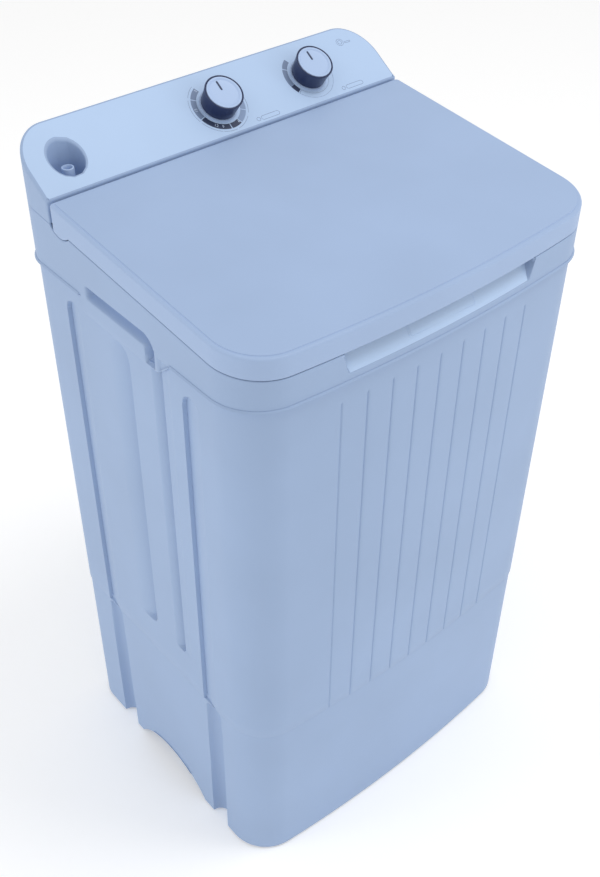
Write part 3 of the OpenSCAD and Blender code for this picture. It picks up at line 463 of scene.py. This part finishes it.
foot = base_foot()
levels = spread([rim_z, 60, 74.8, 75.4, 144.6, 145.2, 250, 261.4]
                + list(np.arange(80, 245, 15)) + list(np.arange(244, 262, 0.9)), 0.3)
low_rows = [foot + (60 - foot) * t for t in (0, 0.02, 0.06, 0.12, 0.22, 0.35, 0.5, 0.65, 0.8, 0.9)]
rows = [at(base_in + base_dent(low_rows[0]) + 1.0, low_rows[0])]
rows += [at(base_in + base_dent(z), z + (0.6 if i == 0 else 0)) for i, z in enumerate(low_rows)]
rows += [at(base_in + base_dent(z), z) for z in levels if z > 59]
rows += [at(base_in + 1.2, seam_cab - 0.3), at(base_in + 2.6, seam_cab + 0.2)]
rows.append(at(base_in + 2.6, seam_cab + 9))
base = wall_of(skin("base_shell", rows), 2.6)
piece(base, "shell_plastic", stands_for=["base"], crease=30)
floor_z = 46.0
under = skin("base_floor", [at(base_in + 16.8, floor_z), at(base_in + 16.8, floor_z + 3)], True, True)
piece(under, "shell_plastic")
print("base faces", len(base.data.polygons))

# %% [markdown]
# The top frame ties the shells together: a band with a hand hold in each side and a
# finger recess in front, a rolled rim, and a deck that slopes down to the tub.

# %% Top frame
tub_x0, tub_x1 = -214.0 + 5.5, 214.0 - 5.5
tub_y0, tub_y1 = -back_y + 30 + 5.5, console_y - 8 - 5.5
tub_r = 54.5


def opening_ring(grow=0.0):
    """The tub's mouth, met by a line from its middle to each point of the outline."""
    cx, cy = 0.0, (tub_y0 + tub_y1) / 2
    hx, hy, r = (tub_x1 - tub_x0) / 2 + grow, (tub_y1 - tub_y0) / 2 + grow, tub_r + grow
    out = []
    for x, y in rim[:, :2]:
        a = math.atan2(y - cy, x - cx)
        c, s = math.cos(a), math.sin(a)
        t = min(hx / max(abs(c), 1e-9), hy / max(abs(s), 1e-9))
        if abs(c) * t > hx - r and abs(s) * t > hy - r:
            kx, ky = math.copysign(hx - r, c), math.copysign(hy - r, s)
            b = c * kx + s * ky
            t = b + math.sqrt(max(b * b - (kx * kx + ky * ky - r * r), 0))
        out.append((cx + c * t, cy + s * t))
    return np.array(out)


def slot_mask(y, z):
    """How deep in the hand hold a point is: along the side, then down at the front end."""
    top, low = slot_top, slot_low
    bend_y, bend_z = slot_front + 8, slot_low - 2
    along = ease((slot_back - y) / 6) * ease((top - z) / 3.5) * ease((z - low) / 7.0) * (y > bend_y)
    r = np.hypot(y - bend_y, z - bend_z)
    ring = ease((top - bend_z - r) / 3.5) * ease((r - (low - bend_z)) / 7.0) * (y <= bend_y) * (z >= bend_z)
    down = ease((y - (bend_y - (top - bend_z))) / 3.5) * ease((bend_y - (low - bend_z) - y) / 6.0)
    down = down * (z < bend_z)
    return np.clip(along + ring + down, 0, 1)


hold_deep, apron_drop = 10.5, 20
scoop_half, scoop_flare, scoop_in = 130, 7, 17


def frame_foot():
    y = rim[:, 1]
    apron = ease((86.5 - y) / 2.5) * np.clip((y + 76) / 23, 0, 1)
    return np.where(on_side, band_z - apron_drop * apron, band_z)


def scoop_depth(x, y, z):
    """The finger recess: a scoop that deepens upwards and ends in two short upright walls."""
    rise = np.clip((z - (seam_at(y) - 27)) / 25.5, 0, 1)
    half = scoop_half + scoop_flare * rise
    return scoop_in * rise * ease((half - np.abs(x)) / 1.6)


def frame_dent(z):
    x, y = rim[:, 0], rim[:, 1]
    hold = hold_deep * slot_mask(y, z)
    d = np.where(on_side, hold, 0)
    return np.where(on_front, scoop_depth(x, y, z), d)


ear_r, ear_t = 25.0, 12.0


def rim_top():
    y = rim[:, 1]
    trough = hinge[2] - np.sqrt(np.clip((ear_r + 0.7) ** 2 - (y - hinge[1]) ** 2, 0, None))
    near = on_side & (np.abs(y - hinge[1]) < ear_r + 0.7) & (y < console_y)
    return np.where(near, np.minimum(seam_at(y), trough), seam_at(y))


def tuck(z):
    """Lets the front end of the apron sink back to the cabinet's wall."""
    return np.where(on_side, 2.2 * ease((-53 - rim[:, 1]) / 6) * ease((band_z + 0.5 - z) / 2), 0)


low_edge = frame_foot()
top_edge = rim_top()
rows = [at(2.45, low_edge + 0.5), at(2.2, low_edge), at(np.maximum(1.2, tuck(low_edge)), low_edge),
        at(np.maximum(0.35, tuck(low_edge + 0.9)), low_edge + 0.9), at(tuck(low_edge + 2.2), low_edge + 2.2)]
stations = [low_edge + 2.2 + (band_z + 1.5 - low_edge - 2.2) * t for t in (0.3, 0.55, 0.8, 1.0)]
stations += [np.full(len(rim), z) for z in np.arange(band_z + 2.5, seam_at(back_y) + 1, 0.75)]
limit = top_edge - 1.2
for z in stations:
    z = np.minimum(z, limit)
    rows.append(at(frame_dent(z) + tuck(z), z))
cut_in = np.where(on_front, frame_dent(top_edge), 0)
for a in (30, 60, 90):
    a = math.radians(a)
    rows.append(at(cut_in + 1.2 * (1 - math.cos(a)), limit + 1.2 * math.sin(a)))
mouth = opening_ring()
deck = seam_at(rim[:, 1]) - 10
rows.append(at(cut_in + 1.9, top_edge))
rows.append(at(cut_in + 2.5, top_edge - 0.6))
rows.append(at(cut_in + 2.5, np.minimum(deck + 1, top_edge - 0.8)))
rows.append(at(cut_in + 3.5, deck))
for t in (0.1, 0.5, 0.9):
    flat = at(cut_in + 3.5, 0)[:, :2] * (1 - t) + mouth * t
    rows.append(np.column_stack([flat, seam_at(flat[:, 1]) - 10]))
for a in (0, 30, 60, 90):
    a = math.radians(a)
    flat = opening_ring(3 - 3 * math.sin(a))
    rows.append(np.column_stack([flat, seam_at(flat[:, 1]) - 13 + 3 * math.cos(a)]))
flat = opening_ring(0)
rows.append(np.column_stack([flat, seam_at(flat[:, 1]) - 22]))
frame_skin = wall_of(skin("frame_shell", rows), 1.9)
piece(frame_skin, "shell_plastic", stands_for=["top_frame"], crease=40)
print("top frame faces", len(frame_skin.data.polygons))

# %% [markdown]
# Two lugs stand on the deck beside the ears and hold the hinge pins. Each is a flat tab
# with a round head, drawn once in profile and thickened along the hinge's axis.

# %% Hinge lugs
lug_in, lug_out, lug_r = 228.4, 237.6, 7.5
profile = [(hinge[1] - lug_r - 1.5, seam_at(hinge[1]) - 11), (hinge[1] - lug_r, hinge[2] - 3)]
profile += [(hinge[1] - lug_r * math.cos(math.radians(a)), hinge[2] + lug_r * math.sin(math.radians(a)))
            for a in range(0, 181, 12)]
profile += [(hinge[1] + lug_r, hinge[2] - 3), (hinge[1] + lug_r + 1.5, seam_at(hinge[1]) - 11)]
for name, mirror in (("hinge_lug_right", 1), ("hinge_lug_left", -1)):
    rings = [np.array([(mirror * x, y, z) for y, z in profile]) for x in (lug_in, lug_out)]
    lug = outward(skin(name, rings, True, True))
    piece(lug, "shell_plastic", crease=30)
print("lugs at", round(hinge[1]), round(hinge[2], 1))

# %% [markdown]
# A thin plate is snapped into the middle of the finger recess. It follows the scoop, so
# it is drawn as nested rings laid on it, with a fine line pressed in just inside its edge.

# %% Plate in the recess
plate_x, plate_h, plate_r = 48.0, 8.0, 3.5


def on_scoop(u, w, lift):
    y = bow_y - np.sqrt(bow_r ** 2 - u ** 2)
    z = seam_at(y) - 13.5 + w
    y = y + scoop_depth(u, y, z) - lift
    return np.stack([u, y, z], 1)


spine_count = 75
spine = np.linspace(-1, 1, spine_count)
deep = [(-12.2, -0.3), (-12.1, 0.2), (-11.8, 0.3), (-8, 0.3), (-4, 0.3), (0, 0.3), (4, 0.3), (8, 0.3),
        (10.8, 0.3), (11.1, 0.2), (11.2, -0.3)]
lining = [on_scoop(spine * (127.6 + scoop_flare * (13.5 + w) / 25.5), np.full(spine_count, w), up)
          for w, up in deep]
strips = [np.array([ring[k] for ring in lining]) for k in range(spine_count)]
# The scoop is lined in the lighter console_plastic: painted light, standing in for the light that falls into the
# finger recess.
painted_light_lining = outward(skin("recess_lining_painted_light", strips, True, True))
piece(painted_light_lining, "console_plastic", crease=30)
turn = np.concatenate([arc(sx * (plate_x - plate_r), sz * (plate_h - plate_r), plate_r, a, a + 90, 8)
                       for sx, sz, a in ((1, 1, 0), (-1, 1, 90), (-1, -1, 180), (1, -1, 270))])[:, :2]
rings = []
for inset, lift in ((0, -0.3), (0, 0.5), (0.25, 0.75), (1.5, 0.75), (1.7, 0.45), (2.0, 0.45), (2.2, 0.75)):
    size = np.array([1 - inset / plate_x, 1 - inset / plate_h])
    rings.append(on_scoop(turn[:, 0] * size[0], turn[:, 1] * size[1], lift))
for t in (0.8, 0.5, 0.2, 0.02):
    rings.append(on_scoop(turn[:, 0] * t * 0.954, turn[:, 1] * t * 0.725, 0.75))
plate = outward(skin("recess_plate", rings, True, True))
# The plate has the same lighter colour as the lining: painted light in the recess.
piece(plate, "console_plastic", stands_for=["blank_plate"], crease=30)
print("plate", round(2 * plate_x), "by", round(2 * plate_h), "mm")

# %% [markdown]
# The lid is a shallow tray turned over. Its edge is rounded, a fine step runs round
# the top, and at the back of each side the skirt swells into a round ear for the hinge.

# %% Lid
def lid_table():
    keep = [tuple(p) for p in rim if p[1] < high_lid[1] - 5.5]
    half = [p for p in keep if p[0] >= 0]
    other = [p for p in keep if p[0] < 0]
    ry, r = high_lid[1], 5.0
    back = arc(half_w - r, ry - r, r, 0, 90, 8)
    across = [238.6, 237.4, *range(200, -201, -50), -237.4, -238.6]
    back += [(x, ry, 0.0, 1.0) for x in across]
    back += arc(r - half_w, ry - r, r, 90, 180, 8)
    return np.array(half + back + other)


lid_rim = lid_table()
order = np.argsort(np.arctan2(lid_rim[:, 1] + 40, lid_rim[:, 0]))
lid_rim = lid_rim[order]
lx, ly = lid_rim[:, 0], lid_rim[:, 1]
lid_side = np.abs(lid_rim[:, 2]) > 0.6
ear = hinge[2] - np.sqrt(np.clip(ear_r ** 2 - (ly - hinge[1]) ** 2, 0, None))
in_ear = lid_side & (np.abs(ly - hinge[1]) < ear_r) | ((ly > hinge[1]) & (np.abs(lx) > 238))
lid_low = np.where(in_ear, np.minimum(ear, seam_at(ly) + 0.8), seam_at(ly) + 0.8)
lid_low = np.where((lid_rim[:, 3] > 0.95) & (np.abs(lx) < 238), hinge[2] + 2, lid_low)
lid_top = seam_at(ly) + skirt
curve_r, step = 2.6, 1.0


def inward(drop, d):
    """A ring of the lid's top, pulled in by d, with its small back corners kept clean."""
    out = at(np.where(ly > high_lid[1] - 6, min(d, 4.8), d), 0, lid_rim)
    out[:, 1] = np.minimum(out[:, 1], high_lid[1] - d)
    out[:, 0] = np.clip(out[:, 0], -half_w + d, half_w - d)
    out[:, 2] = seam_at(out[:, 1]) + skirt - drop
    return out


rows = [at(0.8, lid_low, lid_rim), at(0.2, lid_low + 0.3, lid_rim), at(0, lid_low + 0.9, lid_rim)]
for t in (0.1, 0.3, 0.5, 0.7, 0.9, 1.0):
    rows.append(at(0, lid_low + 0.9 + (lid_top - step - curve_r - lid_low - 0.9) * t, lid_rim))
for a in (15, 30, 45, 60, 75, 90):
    a = math.radians(a)
    rows.append(inward(step + curve_r * (1 - math.sin(a)), curve_r * (1 - math.cos(a))))


rows += [inward(step, 4.4), inward(step - 0.05, 5.0), inward(0.12, 5.4), inward(0, 5.9)]
rows += [inward(0, d) for d in (7.5, 9.5, 12, 15)]
lid = wall_of(skin("lid_shell", rows, cap_end=True), 2.2)
piece(lid, "lid_plastic", body="lid", stands_for=["lid"], crease=40)
print("lid faces", len(lid.data.polygons))

# %% [markdown]
# The console is the panel behind the lid. Its fascia leans towards the user, its edges
# are softly rounded, and a round funnel on the left takes the water hose.

# %% Console
def console_table():
    right = [tuple(p) for p in rim if p[1] > console_y + 2.5 and p[0] > 0 and p[3] < 0.5]
    upper = [tuple(p) for p in rim if p[3] >= 0.5 and p[1] > 100]
    left = [tuple(p) for p in rim if p[1] > console_y + 2.5 and p[0] < 0 and p[3] < 0.5]
    front = arc(2 - half_w, console_y + 2, 2.0, 180, 270, 4)
    front += [(x, console_y, 0.0, -1.0) for x in np.arange(-240, 241, 16)]
    front += arc(half_w - 2, console_y + 2, 2.0, 270, 360, 4)
    return np.array(right + upper + left + front)


con = console_table()
cy = con[:, 1]
inlet_x = (box_mm("inlet_nozzle")[0][0] + box_mm("inlet_nozzle")[1][0]) / 2
dial_y = joints["timer_turn"]["pos_m"][1] / MM
funnel_r = 19.5
con_low = seam_at(cy) + 0.15
con_top = fascia_at(cy)
round_r = np.where(con[:, 3] < -0.5, 1.4, 3.0)
rows = [at(0.6, con_low, con), at(0, con_low + 0.5, con)]
for t in (0.25, 0.5, 0.75, 1.0):
    rows.append(at(0, con_low + 0.5 + (con_top - round_r * 1.3 - con_low - 0.5) * t, con))
for a in (15, 30, 45, 60, 75, 90):
    a = math.radians(a)
    ring = at(round_r * (1 - math.cos(a)), 0, con)
    ring[:, 2] = fascia_at(ring[:, 1]) - round_r * 1.3 * (1 - math.sin(a))
    rows.append(ring)


def on_slope(d):
    ring = at(d, 0, con)
    ring[:, 0] = np.clip(ring[:, 0], -half_w + d, half_w - d)
    ring[:, 1] = np.clip(ring[:, 1], console_y + d, back_y - d)
    ring[:, 2] = fascia_at(ring[:, 1])
    return ring


rows.append(on_slope(3.8))
rows.append(on_slope(5.0))
hole_angle = np.arctan2(rows[-1][:, 1] - dial_y, rows[-1][:, 0] - inlet_x)
hole_floor = 864.3


def funnel_ring(r, drop):
    x = inlet_x + r * np.cos(hole_angle)
    y = dial_y + r * np.sin(hole_angle)
    return np.column_stack([x, y, fascia_at(y) - drop])


rows.append(funnel_ring(funnel_r + 3.6, 0))
for a in (0, 20, 40, 60, 80, 90):
    a = math.radians(a)
    rows.append(funnel_ring(funnel_r + 2.6 * (1 - math.sin(a)), 2.6 * (1 - math.cos(a))))
wall_top = rows[-1]
for t in (0.15, 0.4, 0.7, 0.93):
    r = funnel_r - 1.2 * t
    ring = funnel_ring(r, 2.6)
    ring[:, 2] = wall_top[:, 2] * (1 - t) + hole_floor * t
    rows.append(ring)
for r, up in ((17.2, 0.3), (15.8, 0), (9.0, 0), (8.2, -1), (8.2, -6)):
    ring = funnel_ring(r, 0)
    ring[:, 2] = hole_floor + up
    rows.append(ring)
console = wall_of(skin("console_shell", rows), 2.2)
piece(console, "shell_plastic", stands_for=["console"], crease=38)
print("console faces", len(console.data.polygons), "funnel at", round(inlet_x, 1), round(dial_y, 1))

# %% [markdown]
# A thin film is laid on the fascia and carries the print; it is painted lighter than the console, as painted light
# and sheen on the sloping fascia. It ends just short of the rounded edge and of the funnel.

# %% Fascia film
film_up = 0.12


def lifted(ring, h):
    return ring + h * np.array([0, -math.sin(tilt), math.cos(tilt)])


around = on_slope(3.3)
around[around[:, 1] < console_y + 3.4, 1] = console_y + 1.6
around[:, 2] = fascia_at(around[:, 1])
inner_ring = funnel_ring(funnel_r + 2.75, 0)
# The film's lighter colour is painted light and sheen on the fascia, not a different plastic.
film = skin("fascia_film_painted_lighter", [lifted(around, -0.3), lifted(around, film_up), lifted(on_slope(5.0), film_up),
                            lifted(funnel_ring(funnel_r + 6, 0), film_up), lifted(inner_ring, film_up),
                            lifted(inner_ring, -0.3), lifted(around, -0.3)])
piece(outward(film), "console_plastic", crease=30)
print("film", film_up, "mm thick")

# %% [markdown]
# Knobs, caps and the nozzle are turned shapes. One profile, swept round an axis, gives
# each of them, and the knobs' axes stand square to the sloping fascia.

# %% Turned shapes
def lathe(name, profile, steps, spot, axes):
    """A turned shape: radius and height in mm, from the outside foot to the middle of the top."""
    turn = np.linspace(0, 2 * math.pi, steps, endpoint=False)
    rings = [np.column_stack([r * np.cos(turn), r * np.sin(turn), np.full(steps, h)]) for r, h in profile]
    rings = [spot + ring @ axes for ring in rings]
    return skin(name, rings, cap_end=True, cap_start=True)


fascia_axes = np.array([[1, 0, 0], [0, math.cos(tilt), math.sin(tilt)], [0, -math.sin(tilt), math.cos(tilt)]])
dials = {"timer": np.array(joints["timer_turn"]["pos_m"]) / MM,
         "selector": np.array(joints["selector_turn"]["pos_m"]) / MM}
print("dials at", {name: [round(v, 1) for v in centre] for name, centre in dials.items()})

# %% [markdown]
# A knob is a dark cup with a light cap snapped into its top. The cup widens a little
# upwards so that wet fingers can pull on it, and its foot has a thin light ring.

# %% Knobs
cup = [(18.5, 0.9), (20.9, 0.9), (21.35, 1.3), (21.5, 2.2), (21.8, 8), (22.35, 15), (22.85, 20),
       (23.15, 21.6), (23.3, 22.6), (23.25, 23.2), (23.0, 23.6), (22.6, 23.75), (22.0, 23.6),
       (21.5, 23.1), (21.4, 20.5)]
cap = [(21.2, 20.8), (21.25, 22.9), (21.1, 23.35), (20.7, 23.6), (20.3, 23.64), (19.6, 23.56), (18.9, 23.3),
       (18.2, 22.7), (17.5, 22.3), (16.5, 22.1), (12.0, 22.02), (8.0, 22.0), (3.0, 22.0)]
foot_ring = [(20.2, 0.15), (23.4, 0.15), (23.7, 0.4), (23.5, 0.75), (23.0, 0.85), (22.0, 0.85), (20.2, 0.8)]
pointer_at, pointer_half, pointer_r, pointer_steps = 10.4, 5.2, 1.15, 24
for name, centre in dials.items():
    body = lathe(name + "_cup", cup, 128, centre, fascia_axes)
    piece(body, "knob_dark", body=name, stands_for=[name + "_knob"], crease=40)
    top = lathe(name + "_top", cap, 128, centre, fascia_axes)
    piece(top, "knob_light", body=name, stands_for=[name + "_cap"], crease=50)
    ring = lathe(name + "_foot_ring", foot_ring, 128, centre, fascia_axes)
    piece(ring, "knob_light", body="machine", crease=40)
    line = []
    for k in range(pointer_steps):
        a = 2 * math.pi * k / pointer_steps
        reach = pointer_half if math.sin(a) >= 0 else -pointer_half
        line.append((pointer_r * math.cos(a), pointer_at + pointer_r * math.sin(a) + reach))
    rings = [centre + np.array([(x, y, h) for x, y in line]) @ fascia_axes for h in (21.8, 22.3, 22.45)]
    top_line = [(x * 0.8, (y - pointer_at) * 0.985 + pointer_at, 22.5) for x, y in line]
    rings[2] = centre + np.array(top_line) @ fascia_axes
    piece(skin(name + "_pointer", rings, True, True), "print_dark", body=name)
print("knobs", len(dials))

# %% [markdown]
# The scales are printed on the fascia: a ring of blocks with thin gaps and numbers
# round the timer, and a band of blocks and lines round the selector. The ink stands less
# than a tenth of a millimetre above the film.

# %% Scales
ink_foot, ink_top, number_z = 0.1, 0.19, 0.24


def band(r0, r1, a0, a1, steps=None):
    """Points of a curved block between two radii and two angles, inner edge then outer edge."""
    steps = steps or max(3, int(abs(a1 - a0) / 3))
    turn = [math.radians(a0 + (a1 - a0) * i / steps) for i in range(steps + 1)]
    return [[(r * math.cos(t), r * math.sin(t)) for t in turn] for r in (r0, r1)]


def print_bands(name, bands, centre, finish):
    verts, faces = [], []
    for inner, outer in bands:
        n, base_at = len(inner), len(verts)
        for h in (ink_foot, ink_top):
            for u, v in inner + outer:
                verts.append(centre + np.array([u, v, h]) @ fascia_axes)
        for k in range(n - 1):
            a, b, c, d = k, k + 1, n + k + 1, n + k
            faces.append(tuple(base_at + 2 * n + i for i in (a, d, c, b)))
            faces.append(tuple(base_at + i for i in (a, b, c, d)))
            faces.append(tuple(base_at + i for i in (b, a, 2 * n + a, 2 * n + b)))
            faces.append(tuple(base_at + i for i in (d, c, 2 * n + c, 2 * n + d)))
        faces.append(tuple(base_at + i for i in (0, n, 3 * n, 2 * n)))
        faces.append(tuple(base_at + i for i in (2 * n - 1, n - 1, 3 * n - 1, 4 * n - 1)))
    mesh = bpy.data.meshes.new(name)
    mesh.from_pydata([tuple(np.array(v) * MM) for v in verts], [], faces)
    obj = bpy.data.objects.new(name, mesh)
    scene.collection.objects.link(obj)
    return piece(obj, finish, crease=20)


timer = dials["timer"]
blocks = (("dark", [(-160, -94), (-92, -66)], "print_dark"),
          ("left", [(118, 148), (150, 198)], "print_mid"),
          ("right", [(-64, -32), (-30, 40)], "print_soft"))
for name, angles, ink in blocks:
    print_bands("timer_scale_" + name, [band(26.4, 33.2, a, b) for a, b in angles], timer, ink)
thin = [(-156, -114), (-112, -84), (-80, -44), (-36, 24), (118, 146), (152, 200)]
print_bands("timer_scale_arcs", [band(36.0, 36.4, a, b) for a, b in thin], timer, "print_mid")
selector = dials["selector"]
mid = [band(26.6, 33.0, 122, 148), band(26.6, 33.0, 150, 194)]
print_bands("selector_scale_mid", mid, selector, "print_mid")
print_bands("selector_scale_dark", [band(26.6, 33.0, 194.5, 214)], selector, "print_dark")
lines = [band(26.9, 27.2, 217, 372), band(33.0, 33.3, 217, 372), band(27.0, 33.2, 216.4, 217.2, 3)]
print_bands("selector_scale_lines", lines, selector, "print_mid")


def print_number(name, word, centre, r, angle, size, finish):
    """A number on a dial, printed upright to the ring."""
    curve = bpy.data.curves.new(name, "FONT")
    curve.body = word
    curve.size = size * MM
    curve.align_x = "CENTER"
    curve.align_y = "CENTER"
    curve.extrude = 0.03 * MM
    curve.resolution_u = 3
    made = bpy.data.objects.new(name, curve)
    scene.collection.objects.link(made)
    mesh = bpy.data.meshes.new_from_object(made.evaluated_get(bpy.context.evaluated_depsgraph_get()))
    bpy.data.objects.remove(made)
    a = math.radians(angle)
    spin = a + math.pi / 2 if math.sin(a) < 0 else a - math.pi / 2
    turn = Matrix.Rotation(spin, 4, "Z")
    place = Matrix([list(fascia_axes[:, i]) + [0] for i in range(3)] + [[0, 0, 0, 1]])
    shift = Vector([r * math.cos(a) * MM, r * math.sin(a) * MM, number_z * MM])
    mesh.transform(Matrix.Translation(Vector(centre) * MM) @ place @ Matrix.Translation(shift) @ turn)
    obj = bpy.data.objects.new(name, mesh)
    scene.collection.objects.link(obj)
    return piece(obj, finish, crease=20)


numbers = (("3", -12), ("6", -68), ("9", -112), ("12", -128), ("15", 176), ("0", 122))
for word, angle in numbers:
    print_number("timer_number_" + word, word, timer, 29.8, angle, 5.2, "print_light")


def pill(x, v, half, high, line=0.45):
    """A thin printed outline with round ends."""
    def loop(r):
        pts = arc(half - high, 0, r, -90, 90, 8) + arc(high - half, 0, r, 90, 270, 8)
        return [(x + p[0], v + p[1]) for p in pts + pts[:1]]
    return loop(high - line), loop(high)


zero = np.array([0.0, dial_y, fascia_at(dial_y)])
v_front = -(dial_y - console_y) / math.cos(tilt) + 7.5
marks = [pill(54, v_front, 13.5, 2.9), pill(187, v_front + 1, 13.5, 2.9)]
marks += [pill(36.5, v_front, 2.7, 2.6), pill(169.5, v_front + 1, 2.7, 2.6)]
marks += [pill(206, 27, 5.2, 5.1), pill(206, 27, 3.0, 2.9), pill(217, 25, 4.6, 1.2)]
print_bands("outline_marks", marks, zero, "print_mid")
print("numbers on the timer", len(numbers), "outline marks", len(marks))

# %% [markdown]
# The nozzle in the funnel is a short moulded tube on a collar. It is painted a little paler than the funnel.

# %% Inlet nozzle
nozzle_low, nozzle_high = box_mm("inlet_nozzle")
nozzle_r, nozzle_top = (nozzle_high[0] - nozzle_low[0]) / 2, nozzle_high[2]
foot_z = hole_floor - 0.4
tube = [(nozzle_r, foot_z), (nozzle_r, foot_z + 1.6), (0.94 * nozzle_r, foot_z + 2.1),
        (0.75 * nozzle_r, foot_z + 2.6), (0.7 * nozzle_r, foot_z + 3.6),
        (0.66 * nozzle_r, nozzle_top - 1.2), (0.64 * nozzle_r, nozzle_top - 0.3),
        (0.6 * nozzle_r, nozzle_top), (0.49 * nozzle_r, nozzle_top), (0.45 * nozzle_r, nozzle_top - 0.7),
        (0.44 * nozzle_r, foot_z + 1)]
nozzle = lathe("nozzle_tube", tube, 64, np.array([inlet_x, dial_y, 0.0]), np.eye(3))
piece(nozzle, "knob_light", stands_for=["inlet_nozzle"], crease=40)
print("nozzle radius", round(nozzle_r, 1), "top", round(nozzle_top, 1))

# %% [markdown]
# A plain pale floor catches the soft shadow under the machine.

# %% Floor
floor = bpy.data.objects.new("floor", bpy.data.meshes.new("floor"))
floor.data.from_pydata([(-9, -9, 0), (9, -9, 0), (9, 9, 0), (-9, 9, 0)], [], [(0, 1, 2, 3)])
scene.collection.objects.link(floor)
paper = finish_of("paper", (0.95, 0.95, 0.95, 1), 0.9, bump=0.0, cloud=0.0, spec=0.1)
paper_shader = paper.node_tree.nodes["Principled BSDF"]
paper_shader.inputs["Emission Color"].default_value = (1, 1, 1, 1)
paper_shader.inputs["Emission Strength"].default_value = 0.21
floor.data.materials.append(paper)
